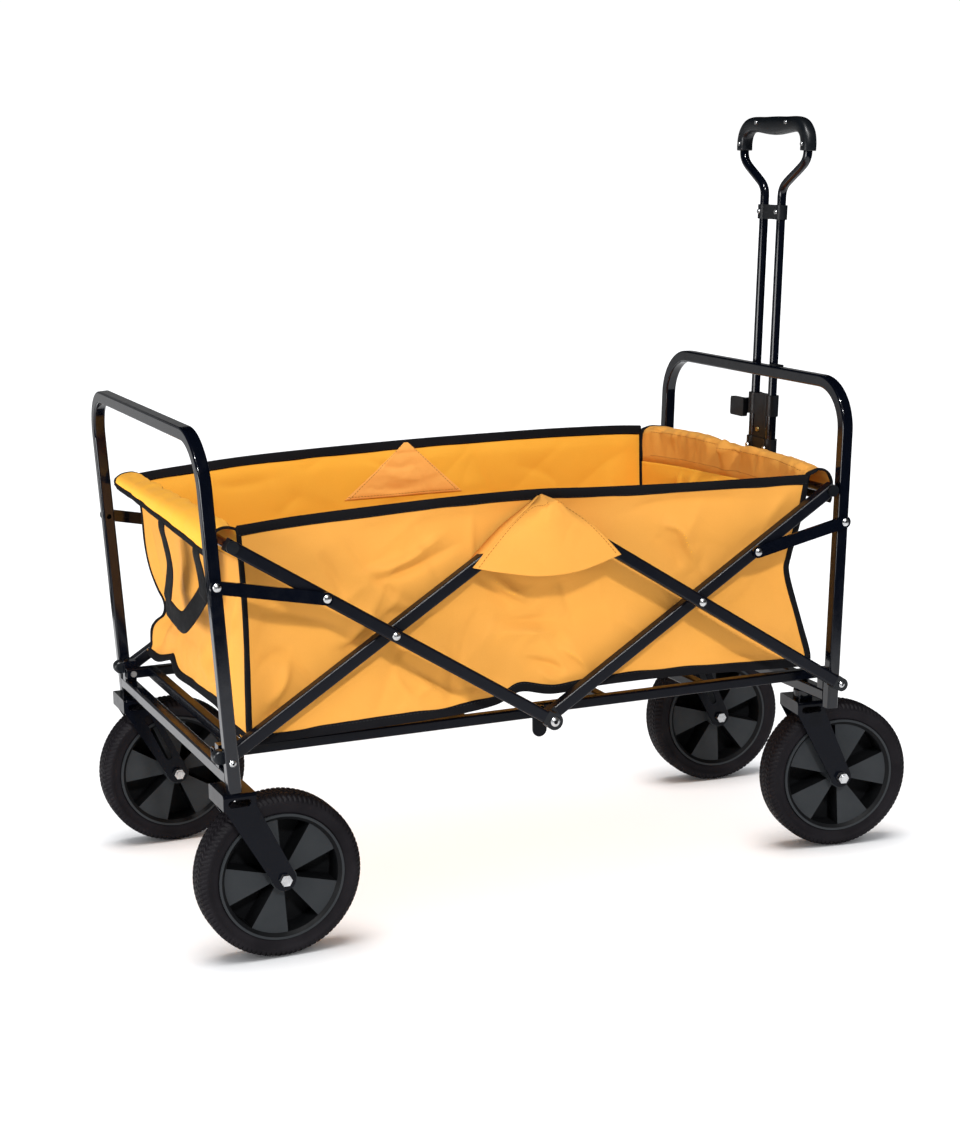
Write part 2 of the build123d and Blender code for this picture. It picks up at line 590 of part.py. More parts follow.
SLEEVE_LOW, SLEEVE_TOP = -8.0, 312.0
outer_tube = rod_z(0, -HANDLE_HALF, SLEEVE_LOW, SLEEVE_TOP, OUTER_D) - rod_z(0, -HANDLE_HALF, -20, 400, INNER_D + 0.2)
outer_tube = outer_tube - rod_y(0, 0, -60, 60, PIN_D)
save("handle_outer_tubes", on_handle(outer_tube), on_handle(far(outer_tube)))


def strap(z0, z1, boss, web, hole):
    """Moulded band over the two tubes: a round boss on each and a thinner web between them."""
    s = block(-web / 2, web / 2, -HANDLE_HALF, HANDLE_HALF, z0, z1)
    for sy in (-1, 1):
        s = s + rod_z(0, sy * HANDLE_HALF, z0, z1, boss)
    for sy in (-1, 1):
        s = s - rod_z(0, sy * HANDLE_HALF, z0 - 1, z1 + 1, hole)
    return s


lower_strap = strap(243.0, 271.5, 17.0, 11.0, OUTER_D) + block(-4.0, 0.0, -HANDLE_HALF + 6.6, HANDLE_HALF - 6.6, 270.5, 299.9)
save("handle_lower_strap", on_handle(lower_strap))
pin = rod_y(0, 0, -33.5, 33.5, PIN_D)
pin = pin + rod_y(0, 0, 33.5, 35.5, 10.0) + rod_y(0, 0, -35.5, -33.5, 10.0)


def rivet_x(y, z, x_face, d=6.5, h=1.6):
    """Small round head on a face that looks towards -X."""
    return Plane(origin=(x_face, y, z), x_dir=(0, 1, 0), z_dir=(-1, 0, 0)) * extrude(Circle(d / 2), amount=h, taper=18)


save(
    "handle_outer_rivets",
    on_handle(pin),
    *[on_handle(rivet_x(y, 260.0, -8.5)) for y in (-HANDLE_HALF, HANDLE_HALF)],
    on_handle(rivet_x(4.5, 281.0, -4.0)),
)

# clamp on top of the outer tubes
CL0, CL1 = 300.0, 326.0
clamp = strap(CL0, CL1, 16.8, 11.5, INNER_D + 0.5)
for sy in (-1, 1):
    clamp = clamp - rod_z(0, sy * HANDLE_HALF, CL0 - 1, SLEEVE_TOP, OUTER_D)
lever_y = 33.6
ear = block(-4.0, 4.0, 27.4, lever_y, CL0 + 2, CL1 - 12) + rod_z(0, lever_y, CL0 + 2, CL1 - 12, 8.0)
clamp = clamp + ear - rod_z(0, lever_y, CL0 - 2, CL1, 4.0)
save("handle_clamp", on_handle(clamp))
# lever: paddle with two ears that straddle the clamp's ear
paddle = block(-11.5, -5.0, lever_y - 4.0, 62.0, CL0 - 6.0, CL1 - 8.6)
paddle = fillet(paddle.edges().filter_by(Axis.X), 3.0)
for z0, z1 in ((CL0 - 1.4, CL0 + 1.6), (CL1 - 11.6, CL1 - 8.6)):
    paddle = paddle + rod_z(0, lever_y, z0, z1, 8.0) + block(-9.0, 0, lever_y - 4, lever_y + 4, z0, z1)
paddle = paddle + rod_z(0, lever_y, CL0 - 1.4, CL1 - 8.6, 3.88)
save("handle_lever", on_handle(paddle))

# inner tubes, with the flare up to the grip
IN0, BEND0, GRIP_Z = 226.0, 568.0, 624.0
FLARE = 75.0


def inner_tube(s):
    y0, y1 = s * HANDLE_HALF, s * FLARE
    path = Wire(
        [
            Edge.make_line((0, y0, IN0), (0, y0, BEND0)),
            Edge.make_spline(
                [(0, y0, BEND0), (0, s * 33.0, BEND0 + 19.0), (0, s * 62.0, BEND0 + 36.0), (0, y1, BEND0 + 55.0)],
                tangents=[(0, 0, 1), (0, 0, 1)],
            ),
            Edge.make_line((0, y1, BEND0 + 55.0), (0, y1, GRIP_Z + 12.0)),
        ]
    )
    return sweep(Plane(origin=(0, y0, IN0), x_dir=(1, 0, 0), z_dir=(0, 0, 1)) * Circle(INNER_D / 2), path=path)


tubes_in = [inner_tube(-1), inner_tube(1)]
save("handle_inner_tubes", *[on_handle(t) for t in tubes_in])
save("handle_upper_strap", on_handle(strap(540.5, 558.0, 15.2, 9.6, INNER_D)))

# grip: a bar with two arms that sleeve the tube ends
g0, g1 = GRIP_Z, 664.5
half_outline = [(84.0, g0), (83.0, 640.0), (76.0, 652.0), (64.0, 661.0), (50.0, g1)]
inner_outline = [(66.2, g0), (65.2, 639.0), (57.0, 646.5)]
pts = [(0, y, z) for y, z in half_outline] + [(0, -y, z) for y, z in half_outline[::-1]] + [(0, -y, z) for y, z in inner_outline]
back = [(0, y, z) for y, z in inner_outline[::-1]] + [(0, half_outline[0][0], g0)]
edges = [Edge.make_line(a, b) for a, b in zip(pts, pts[1:])]
edges.append(Edge.make_three_point_arc(pts[-1], (0, 0, 641.6), back[0]))
edges += [Edge.make_line(a, b) for a, b in zip(back, back[1:])]
grip = extrude(make_face(edges), amount=9.0, dir=(1, 0, 0), both=True)
grip = grip - [rod_z(0, sy * FLARE, g0 - 5, GRIP_Z + 12.4, INNER_D) for sy in (-1, 1)]
save("handle_grip", on_handle(grip))
screws = [rivet_x(y, z, -9.0, d=5.2, h=0.9) for y, z in ((-35.0, 656.5), (35.0, 656.5), (-74.0, 631.0), (74.0, 631.0))]
screws += [rivet_x(y, 549.5, -7.6, d=6.0, h=1.4) for y in (-HANDLE_HALF, HANDLE_HALF)]
save("handle_screws", *[on_handle(s) for s in screws])

# lugs that hold the handle pin, and the clip on the top bar
lug = block(FRONT_LOW_X + 7, HX0 + 9.5, -32.8, -29.8, LOWER_Z - 2, HANDLE_PIN_Z + 8.5)
lug = lug - rod_y(HX0, HANDLE_PIN_Z, -60, 60, HOLE)
save("handle_lugs", lug, far(lug))
bar_x = HALF_BASE + (TOP_FRONT - PIVOT_Z) * math.tan(rad(LEAN_FRONT))
clip = Pos(bar_x, 0, TOP_FRONT) * Rot(0, LEAN_FRONT, 0) * (
    block(7.0, 9.4, -58.0, -45.0, -6.0, 8.2) + block(-2.0, 9.4, -58.0, -45.0, 7.0, 8.6)
)
save("handle_clip", clip)

# ---------------------------------------------------------------- fabric, as plain closed sheets
for name, x0, x1 in (("rear", -352.0, -0.2), ("front", 0.2, 352.0)):
    side = block(x0, x1, -PANEL_Y - PANEL_T / 2, -PANEL_Y + PANEL_T / 2, PANEL_LOW, PANEL_TOP)
    save(f"fabric_side_near_{name}", side)
    save(f"fabric_side_far_{name}", far(side))
end_half = PANEL_Y - PANEL_T / 2 - 0.4
save("fabric_rear_end", block(-351.6, -349.2, -end_half, end_half, PANEL_LOW, PANEL_TOP - 6))
save("fabric_front_end", block(349.2, 351.6, -end_half, end_half, PANEL_LOW, PANEL_TOP - 6))
band = block(-364.0, -362.6, -95.0, 95.0, 318.0, 340.0)
save("fabric_pull_strap", band + block(-362.6, -352.0, -95.0, -93.6, 318.0, 340.0) + block(-362.6, -352.0, 93.6, 95.0, 318.0, 340.0))
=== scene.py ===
import json
import math

import bmesh
import bpy
import numpy as np
from mathutils import Matrix, Vector

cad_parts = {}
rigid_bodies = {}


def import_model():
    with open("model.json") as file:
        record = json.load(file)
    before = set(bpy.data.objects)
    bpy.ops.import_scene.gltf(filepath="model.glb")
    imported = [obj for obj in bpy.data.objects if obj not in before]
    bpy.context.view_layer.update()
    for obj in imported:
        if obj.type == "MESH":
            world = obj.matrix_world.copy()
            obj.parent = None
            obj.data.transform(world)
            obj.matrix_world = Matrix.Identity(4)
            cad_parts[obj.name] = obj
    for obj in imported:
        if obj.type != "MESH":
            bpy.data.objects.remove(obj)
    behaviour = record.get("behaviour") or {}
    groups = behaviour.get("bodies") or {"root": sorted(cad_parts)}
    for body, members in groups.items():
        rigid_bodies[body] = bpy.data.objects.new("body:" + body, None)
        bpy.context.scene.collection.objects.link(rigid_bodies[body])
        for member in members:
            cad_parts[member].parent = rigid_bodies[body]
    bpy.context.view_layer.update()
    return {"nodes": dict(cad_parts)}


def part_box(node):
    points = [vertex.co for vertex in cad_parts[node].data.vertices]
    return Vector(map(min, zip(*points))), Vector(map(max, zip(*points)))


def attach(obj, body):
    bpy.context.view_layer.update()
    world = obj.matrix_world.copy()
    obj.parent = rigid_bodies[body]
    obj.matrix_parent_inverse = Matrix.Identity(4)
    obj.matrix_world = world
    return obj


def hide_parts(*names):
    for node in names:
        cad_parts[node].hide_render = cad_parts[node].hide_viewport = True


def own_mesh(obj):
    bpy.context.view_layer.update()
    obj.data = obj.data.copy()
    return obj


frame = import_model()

OX = 46.736  # the row frame's origin, in mm, from the middle of the wagon's base


def W(p):
    """Millimetres about the middle of the base to metres in the row frame."""
    p = np.asarray(p, float)
    return (p - np.array([OX, 0.0, 0.0])) / 1000.0


# ---------------------------------------------------------------- smooth noise
def _hash(ix, iy, iz, seed):
    n = (ix * 374761393 + iy * 668265263 + iz * 2147483647 + seed * 974634777) & 0xFFFFFFFF
    n = ((n ^ (n >> 13)) * 1274126177) & 0xFFFFFFFF
    n = n ^ (n >> 16)
    return (n & 0xFFFFFF) / float(0xFFFFFF) * 2.0 - 1.0


def noise(p, scale, seed=0):
    """Value noise of points p (..., 3), in -1 to 1, with features about 1/scale apart."""
    q = np.asarray(p, float) * scale
    i = np.floor(q).astype(np.int64)
    f = q - i
    f = f * f * f * (f * (f * 6 - 15) + 10)
    out = 0.0
    for dx in (0, 1):
        wx = f[..., 0] if dx else 1 - f[..., 0]
        for dy in (0, 1):
            wy = f[..., 1] if dy else 1 - f[..., 1]
            for dz in (0, 1):
                wz = f[..., 2] if dz else 1 - f[..., 2]
                out = out + wx * wy * wz * _hash(i[..., 0] + dx, i[..., 1] + dy, i[..., 2] + dz, seed)
    return out


def curve(points, n, closed=False):
    """n points on a smooth (Catmull-Rom) line through the given ones, evenly spaced along it."""
    p = np.asarray(points, float)
    if len(p) == 2:
        t = np.linspace(0, 1, n)[:, None]
        return p[0] * (1 - t) + p[1] * t
    if closed:
        p = np.vstack([p[-1], p, p[0], p[1]])
    else:
        p = np.vstack([2 * p[0] - p[1], p, 2 * p[-1] - p[-2]])
    out = []
    for k in range(1, len(p) - 2):
        a, b, c, d = p[k - 1 : k + 3]
        for t in np.linspace(0, 1, 40, endpoint=False):
            out.append(
                0.5 * (2 * b + (c - a) * t + (2 * a - 5 * b + 4 * c - d) * t * t + (3 * b - a - 3 * c + d) * t**3)
            )
    out.append(p[-2])
    out = np.array(out)
    s = np.concatenate([[0], np.cumsum(np.linalg.norm(np.diff(out, axis=0), axis=1))])
    want = np.linspace(0, s[-1], n)
    return np.stack([np.interp(want, s, out[:, k]) for k in range(out.shape[1])], axis=1)


def smoothstep(a, b, x):
    t = np.clip((np.asarray(x, float) - a) / (b - a), 0, 1)
    return t * t * (3 - 2 * t)


# ---------------------------------------------------------------- meshes
def mesh_obj(name, verts, faces, mats, smooth=True, face_mat=None):
    me = bpy.data.meshes.new(name)
    me.from_pydata([tuple(map(float, v)) for v in verts], [], [tuple(int(i) for i in f) for f in faces])
    me.update()
    for m in mats if isinstance(mats, (list, tuple)) else [mats]:
        me.materials.append(m)
    me.polygons.foreach_set("use_smooth", [smooth] * len(me.polygons))
    if face_mat is not None:
        me.polygons.foreach_set("material_index", list(map(int, face_mat)))
    ob = bpy.data.objects.new(name, me)
    bpy.context.scene.collection.objects.link(ob)
    return ob


def grid_faces(nr, nc, base=0, flip=False, wrap=False):
    out = []
    for r in range(nr - 1):
        for c in range(nc if wrap else nc - 1):
            c1 = (c + 1) % nc
            f = (base + r * nc + c, base + r * nc + c1, base + (r + 1) * nc + c1, base + (r + 1) * nc + c)
            out.append(f[::-1] if flip else f)
    return out


def grid_normals(g):
    du = np.gradient(g, axis=1)
    dv = np.gradient(g, axis=0)
    n = np.cross(du, dv)
    return n / np.maximum(np.linalg.norm(n, axis=2, keepdims=True), 1e-12)


def thick_sheet(g, t):
    """Closed verts and faces of a sheet of thickness t over the grid g."""
    nr, nc = g.shape[:2]
    n = grid_normals(g)
    a, b = g + n * t / 2, g - n * t / 2
    verts = np.vstack([a.reshape(-1, 3), b.reshape(-1, 3)])
    m = nr * nc
    faces = grid_faces(nr, nc) + grid_faces(nr, nc, m, flip=True)
    ring = (
        [(0, c) for c in range(nc)]
        + [(r, nc - 1) for r in range(1, nr)]
        + [(nr - 1, c) for c in range(nc - 2, -1, -1)]
        + [(r, 0) for r in range(nr - 2, 0, -1)]
    )
    idx = [r * nc + c for r, c in ring]
    for k in range(len(idx)):
        i, j = idx[k], idx[(k + 1) % len(idx)]
        faces.append((j, i, m + i, m + j))
    return verts, faces


def two_faced(g, inward):
    """Material numbers for the faces of thick_sheet(g): 1 on the side that looks along inward, else 0."""
    k = (g.shape[0] - 1) * (g.shape[1] - 1)
    first = float((grid_normals(g) @ np.asarray(inward, float)).mean()) > 0
    rim = 2 * (g.shape[0] + g.shape[1]) - 4
    return [int(first)] * k + [int(not first)] * k + [0] * rim


def join_parts(parts):
    """One list of verts and faces, with a material number for each face, from (verts, faces, number) parts."""
    vs, fs, ms, base = [], [], [], 0
    for v, f, m in parts:
        vs.append(np.asarray(v, float).reshape(-1, 3))
        fs += [tuple(i + base for i in q) for q in f]
        ms += [m] * len(f)
        base += len(vs[-1])
    return np.vstack(vs), fs, ms


def ribbon(center, wide, thick_dir, width, thick, rows=5):
    """Closed flat band along center (n, 3); wide and thick_dir are its unit directions at each point. A rounded section."""
    prof = []
    for k in range(rows):
        s = -1 + 2 * k / (rows - 1)
        prof.append((s, 0.5 * (1 - 0.55 * abs(s) ** 6)))
    loop = [(s * width / 2, h * thick) for s, h in prof] + [(s * width / 2, -h * thick) for s, h in prof[::-1]]
    n, m = len(center), len(loop)
    v = np.zeros((n, m, 3))
    for k, (s, h) in enumerate(loop):
        v[:, k] = center + wide * s + thick_dir * h
    faces = grid_faces(n, m, wrap=True)
    faces.append(tuple(range(m))[::-1])
    faces.append(tuple((n - 1) * m + k for k in range(m)))
    return v.reshape(-1, 3), faces


def tube(path, r, seg=10, closed=False, cap=True):
    path = np.asarray(path, float)
    n = len(path)
    t = np.gradient(path, axis=0)
    if closed:
        t = np.roll(path, -1, 0) - np.roll(path, 1, 0)
    t /= np.linalg.norm(t, axis=1, keepdims=True)
    ref = np.array([0.0, 0.0, 1.0]) if abs(t[0][2]) < 0.9 else np.array([1.0, 0, 0])
    u = np.cross(ref, t[0])
    u /= np.linalg.norm(u)
    v = np.zeros((n, seg, 3))
    for k in range(n):
        u = u - t[k] * np.dot(u, t[k])
        u /= np.linalg.norm(u)
        w = np.cross(t[k], u)
        rk = r[k] if hasattr(r, "__len__") else r
        for s in range(seg):
            a = 2 * math.pi * s / seg
            v[k, s] = path[k] + rk * (math.cos(a) * u + math.sin(a) * w)
    faces = grid_faces(n, seg, wrap=True)
    if closed:
        faces += [
            ((n - 1) * seg + s, (n - 1) * seg + (s + 1) % seg, (s + 1) % seg, s) for s in range(seg)
        ]
    elif cap:
        faces.append(tuple(range(seg))[::-1])
        faces.append(tuple((n - 1) * seg + s for s in range(seg)))
    return v.reshape(-1, 3), faces


def stitches(line, normal, pitch=0.0042, length=0.0027, r=0.00042, lift=0.0002):
    """Short thread runs along a line (n, 3) that lies on cloth with the given normals."""
    line, normal = np.asarray(line, float), np.asarray(normal, float)
    s = np.concatenate([[0], np.cumsum(np.linalg.norm(np.diff(line, axis=0), axis=1))])
    vs, fs, base = [], [], 0
    for k in range(int(s[-1] / pitch)):
        a = (k + 0.2) * pitch
        ts = np.array([a, a + length / 2, a + length])
        p = np.stack([np.interp(ts, s, line[:, j]) for j in range(3)], 1)
        nn = np.stack([np.interp(ts, s, normal[:, j]) for j in range(3)], 1)
        nn /= np.linalg.norm(nn, axis=1, keepdims=True)
        p = p + nn * np.array([lift - 0.6 * r, lift + 0.5 * r, lift - 0.6 * r])[:, None]
        v, f = tube(p, [r * 0.6, r, r * 0.6], seg=5)
        vs.append(v)
        fs += [tuple(i + base for i in q) for q in f]
        base += len(v)
    return np.vstack(vs), fs


# ---------------------------------------------------------------- materials
def nodes_of(name):
    m = bpy.data.materials.new(name)
    m.use_nodes = True
    nt = m.node_tree
    return m, nt, nt.nodes, nt.links, nt.nodes["Principled BSDF"]


def ramp(N, L, fac, stops):
    r = N.new("ShaderNodeValToRGB")
    el = r.color_ramp.elements
    while len(el) > 1:
        el.remove(el[-1])
    el[0].position, el[0].color = stops[0][0], (*stops[0][1], 1)
    for pos, col in stops[1:]:
        e = el.new(pos)
        e.color = (*col, 1)
    L.new(fac, r.inputs["Fac"])
    return r.outputs["Color"]


def noise_node(N, L, vec, scale, detail=3.0, rough=0.55):
    n = N.new("ShaderNodeTexNoise")
    n.inputs["Scale"].default_value = scale
    n.inputs["Detail"].default_value = detail
    n.inputs["Roughness"].default_value = rough
    L.new(vec, n.inputs["Vector"])
    return n.outputs["Fac"]


def math_node(N, L, op, a, b=None):
    n = N.new("ShaderNodeMath")
    n.operation = op
    for k, x in enumerate((a, b)):
        if x is None:
            continue
        if isinstance(x, (int, float)):
            n.inputs[k].default_value = x
        else:
            L.new(x, n.inputs[k])
    return n.outputs[0]


def remap(N, L, x, a, b, c, d):
    n = N.new("ShaderNodeMapRange")
    for k, v in zip(("From Min", "From Max", "To Min", "To Max"), (a, b, c, d)):
        n.inputs[k].default_value = v
    L.new(x, n.inputs["Value"])
    return n.outputs["Result"]


def bump(N, L, height, strength, distance, below=None):
    b = N.new("ShaderNodeBump")
    b.inputs["Strength"].default_value = strength
    b.inputs["Distance"].default_value = distance
    L.new(height, b.inputs["Height"])
    if below is not None:
        L.new(below, b.inputs["Normal"])
    return b.outputs["Normal"]


def surface(name, dark, light, rough, patch=9.0, fine=900.0, fine_bump=0.12, metal=0.0, spec=0.5, wear=None, coat=0.0):
    """A hard finish: colour and roughness that drift over the surface, a fine texture, and worn edges."""
    m, nt, N, L, P = nodes_of(name)
    co = N.new("ShaderNodeTexCoord").outputs["Object"]
    big = noise_node(N, L, co, patch, 4.0)
    col = ramp(N, L, big, [(0.3, dark), (0.7, light)])
    if wear is not None:
        geo = N.new("ShaderNodeNewGeometry")
        edge = remap(N, L, geo.outputs["Pointiness"], 0.515, 0.56, 0.0, 1.0)
        spots = noise_node(N, L, co, 160.0, 3.0)
        edge = math_node(N, L, "MULTIPLY", edge, remap(N, L, spots, 0.42, 0.62, 0.0, 0.75))
        mix = N.new("ShaderNodeMix")
        mix.data_type = "RGBA"
        L.new(edge, mix.inputs[0])
        L.new(col, mix.inputs[6])
        mix.inputs[7].default_value = (*wear, 1)
        col = mix.outputs[2]
    L.new(col, P.inputs["Base Color"])
    mid = noise_node(N, L, co, patch * 5, 3.0)
    L.new(remap(N, L, mid, 0.3, 0.7, rough[0], rough[1]), P.inputs["Roughness"])
    P.inputs["Metallic"].default_value = metal
    P.inputs["Specular IOR Level"].default_value = spec
    P.inputs["Coat Weight"].default_value = coat
    P.inputs["Coat Roughness"].default_value = 0.12
    tex = noise_node(N, L, co, fine, 2.0)
    L.new(bump(N, L, tex, fine_bump, 0.0004), P.inputs["Normal"])
    return m


def cloth_mat(name, dark, light, pitch, axes, weave=0.25, rough=(0.7, 0.85), sheen=0.2, tint=(1, 1, 1), crease=0.0, spec=0.25):
    """A woven cloth. axes gives the two directions of its threads as sums of x, y and z."""
    m, nt, N, L, P = nodes_of(name)
    co = N.new("ShaderNodeTexCoord").outputs["Object"]
    sep = N.new("ShaderNodeSeparateXYZ")
    L.new(co, sep.inputs[0])

    def along(ax):
        acc = None
        for k, w in enumerate(ax):
            if not w:
                continue
            term = sep.outputs[k] if w == 1 else math_node(N, L, "MULTIPLY", sep.outputs[k], float(w))
            acc = term if acc is None else math_node(N, L, "ADD", acc, term)
        return math_node(N, L, "SINE", math_node(N, L, "MULTIPLY", acc, 2 * math.pi / pitch))

    threads = math_node(N, L, "MULTIPLY", along(axes[0]), along(axes[1]))
    big = noise_node(N, L, co, 7.0, 4.0)
    col = ramp(N, L, big, [(0.3, dark), (0.72, light)])
    slub = noise_node(N, L, co, 1400.0, 2.0)
    mix = N.new("ShaderNodeMix")
    mix.data_type = "RGBA"
    mix.blend_type = "MULTIPLY"
    mix.inputs[0].default_value = 1.0
    L.new(col, mix.inputs[6])
    L.new(
        ramp(N, L, math_node(N, L, "ADD", math_node(N, L, "MULTIPLY", threads, 0.22), slub),
             [(0.2, (0.93, 0.92, 0.90)), (0.8, (1.0, 1.0, 1.0))]),
        mix.inputs[7],
    )
    L.new(mix.outputs[2], P.inputs["Base Color"])
    L.new(remap(N, L, noise_node(N, L, co, 40.0), 0.3, 0.7, rough[0], rough[1]), P.inputs["Roughness"])
    P.inputs["Specular IOR Level"].default_value = spec
    P.inputs["Sheen Weight"].default_value = sheen
    P.inputs["Sheen Roughness"].default_value = 0.5
    n0 = None
    if crease:
        wr = noise_node(N, L, co, 26.0, 5.0, 0.6)
        n0 = bump(N, L, wr, crease, 0.004)
    L.new(bump(N, L, threads, weave, 0.0003, n0), P.inputs["Normal"])
    return m


M_FRAME = surface("frame_gloss_black", (0.0010, 0.0017, 0.0042), (0.0019, 0.0028, 0.0060), (0.10, 0.18), patch=14, fine=700,
                  fine_bump=0.03, spec=0.42)
# links: the frame's black paint with a lighter base colour, which is painted light on their faces, and rougher so the
# key lamp's streak is broad and dim
M_LINK_LIT = surface("link_black_painted_light", (0.0018, 0.0025, 0.0054), (0.0027, 0.0036, 0.0070), (0.28, 0.36), patch=14, fine=700,
                  fine_bump=0.03, spec=0.20)
# forks and floor rails: a darker copy of the frame's black paint with weaker gloss, which is painted shade for the low
# parts near the shaded floor under the wagon
M_LOW_SHADED = surface("frame_black_painted_shade", (0.0010, 0.0015, 0.0034), (0.0019, 0.0026, 0.0052), (0.16, 0.26), patch=14, fine=700,
                fine_bump=0.03, spec=0.12)
M_STEEL = surface("zinc_steel", (0.42, 0.43, 0.44), (0.70, 0.71, 0.72), (0.20, 0.42), patch=60, fine=1500, fine_bump=0.06, metal=1.0)
M_YELLOW = surface("yellow_zinc", (0.36, 0.27, 0.10), (0.58, 0.46, 0.20), (0.25, 0.45), patch=90, fine=1500, fine_bump=0.06, metal=1.0)
M_PLASTIC = surface("moulded_black", (0.0030, 0.0042, 0.0062), (0.0055, 0.0072, 0.0098), (0.28, 0.42), patch=20, fine=1300, fine_bump=0.10,
                    spec=0.32)
M_WHEEL = surface("wheel_grey", (0.019, 0.0215, 0.0240), (0.026, 0.0285, 0.0310), (0.42, 0.56), patch=16, fine=1200, fine_bump=0.10, spec=0.12)
# near-black for the wheel pockets, the rim chamfers and the rivet dimples: painted shade in recesses
M_RECESS_SHADE = surface("recess_painted_shade", (0.0035, 0.0038, 0.0044), (0.0062, 0.0066, 0.0074), (0.45, 0.6), patch=16, fine=1200, fine_bump=0.10, spec=0.08)
M_TYRE = surface("tyre_rubber", (0.0050, 0.0043, 0.0056), (0.0098, 0.0086, 0.0104), (0.46, 0.62), patch=24, fine=900, fine_bump=0.16,
                 spec=0.07)
ORANGE_D, ORANGE_L = (0.690, 0.308, 0.052), (0.745, 0.338, 0.060)
M_WALL = cloth_mat("orange_cloth", ORANGE_D, ORANGE_L, 0.0011, ((1, 1, 0), (0, 0, 1)), crease=0.06, sheen=0.0, spec=0.15)
# inside faces of the basket: a brighter, more saturated copy of the orange cloth, which is painted bounce light from
# the orange walls
M_INSIDE_LIT = cloth_mat("orange_cloth_inside_painted_bounce", (0.85, 0.395, 0.034), (0.90, 0.430, 0.042), 0.0011, ((1, 1, 0), (0, 0, 1)), crease=0.06, sheen=0.0,
                     spec=0.15)
# the rear hem roll: a brighter copy of the orange cloth, which is painted light
M_ROLL_LIT = cloth_mat("orange_cloth_roll_painted_light", (0.935, 0.425, 0.036), (0.960, 0.450, 0.044), 0.0011, ((1, 1, 0), (0, 0, 1)), crease=0.06, sheen=0.0,
                   spec=0.15)
M_PATCH = cloth_mat("orange_cloth_patch", (0.86, 0.385, 0.082), (0.91, 0.415, 0.092), 0.0011, ((1, 1, 0), (0, 0, 1)), crease=0.10, sheen=0.0,
                    spec=0.15)
M_FLOORCLOTH = cloth_mat("orange_cloth_floor", ORANGE_D, ORANGE_L, 0.0011, ((1, 0, 0), (0, 1, 0)), crease=0.06, sheen=0.0, spec=0.15)
M_TAPE = cloth_mat("black_tape", (0.0040, 0.0040, 0.0052), (0.0072, 0.0072, 0.0088), 0.0014, ((1, 1, 0), (0.5, -0.5, 1)), weave=0.5,
                   rough=(0.72, 0.88), sheen=0.0, spec=0.08)
M_WEB = cloth_mat("black_webbing", (0.0045, 0.0045, 0.0054), (0.0080, 0.0080, 0.0092), 0.0022, ((0, 1, 0), (1, 0, 1)), weave=0.7,
                  rough=(0.6, 0.8), sheen=0.0, spec=0.10)
M_THREAD = surface("orange_thread", (0.30, 0.105, 0.010), (0.40, 0.15, 0.015), (0.6, 0.8), patch=300, fine=2000, spec=0.2)
M_BLACKTHREAD = surface("black_thread", (0.010, 0.010, 0.011), (0.02, 0.02, 0.022), (0.6, 0.8), patch=300, fine=2000, spec=0.2)

SLOT_MAT = {
    "frame_black": M_FRAME, "steel": M_STEEL, "plastic_black": M_PLASTIC, "wheel_grey": M_WHEEL, "tyre_black": M_TYRE,
    "fabric_orange": M_WALL, "webbing_black": M_WEB,
}

# ---------------------------------------------------------------- CAD pieces: finishes, and a second finish on part of their faces
NODES = frame["nodes"]


def finish_node(name, *mats, pick=None):
    """pick(centres in mm about the middle of the base, normals) gives a finish number for each face."""
    ob = NODES[name]
    me = ob.data
    me.materials.clear()
    for m in mats:
        me.materials.append(m)
    if pick is None:
        me.polygons.foreach_set("material_index", [0] * len(me.polygons))
        return
    c = np.zeros(len(me.polygons) * 3)
    n = np.zeros(len(me.polygons) * 3)
    me.polygons.foreach_get("center", c)
    me.polygons.foreach_get("normal", n)
    c = c.reshape(-1, 3) * 1000 + np.array([OX, 0, 0])
    me.polygons.foreach_set("material_index", np.asarray(pick(c, n.reshape(-1, 3)), int).tolist())


PL, PR, BC, TC = (-369.0, 223.0), (369.0, 223.0), (0.0, 223.0), (0.0, 456.0)
X1, X2 = (-184.5, 339.5), (184.5, 339.5)


def off(c, p):
    return np.hypot(c[:, 0] - p[0], c[:, 2] - p[1])


def paint_rim(name):
    """Grey webs and flange rings on the two faces; painted shade on the pockets between the webs and on the chamfer
    inside the rings.
    """
    lo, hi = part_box(name)
    mid = np.array((lo + hi) / 2) * 1000 + np.array([OX, 0, 0])
    a = math.radians({"front_near": -8.0, "front_far": -4.0}.get(name[6:-4], 0.0))
    axle = np.array([-math.sin(a), math.cos(a), 0.0])

    def pick(c, n):
        d = c - mid
        y = d @ axle
        r = np.sqrt(np.maximum((d**2).sum(1) - y**2, 0))
        face = np.abs(n @ axle)
        chamfer = (r > 62.9) & (r < 67.2) & (face < 0.97)
        pocket = (r < 63.6) & (np.abs(y) < 15.3) & (r > 14.6)
        return np.where(chamfer | pocket, 1, 0)

    finish_node(name, M_WHEEL, M_RECESS_SHADE, pick=pick)


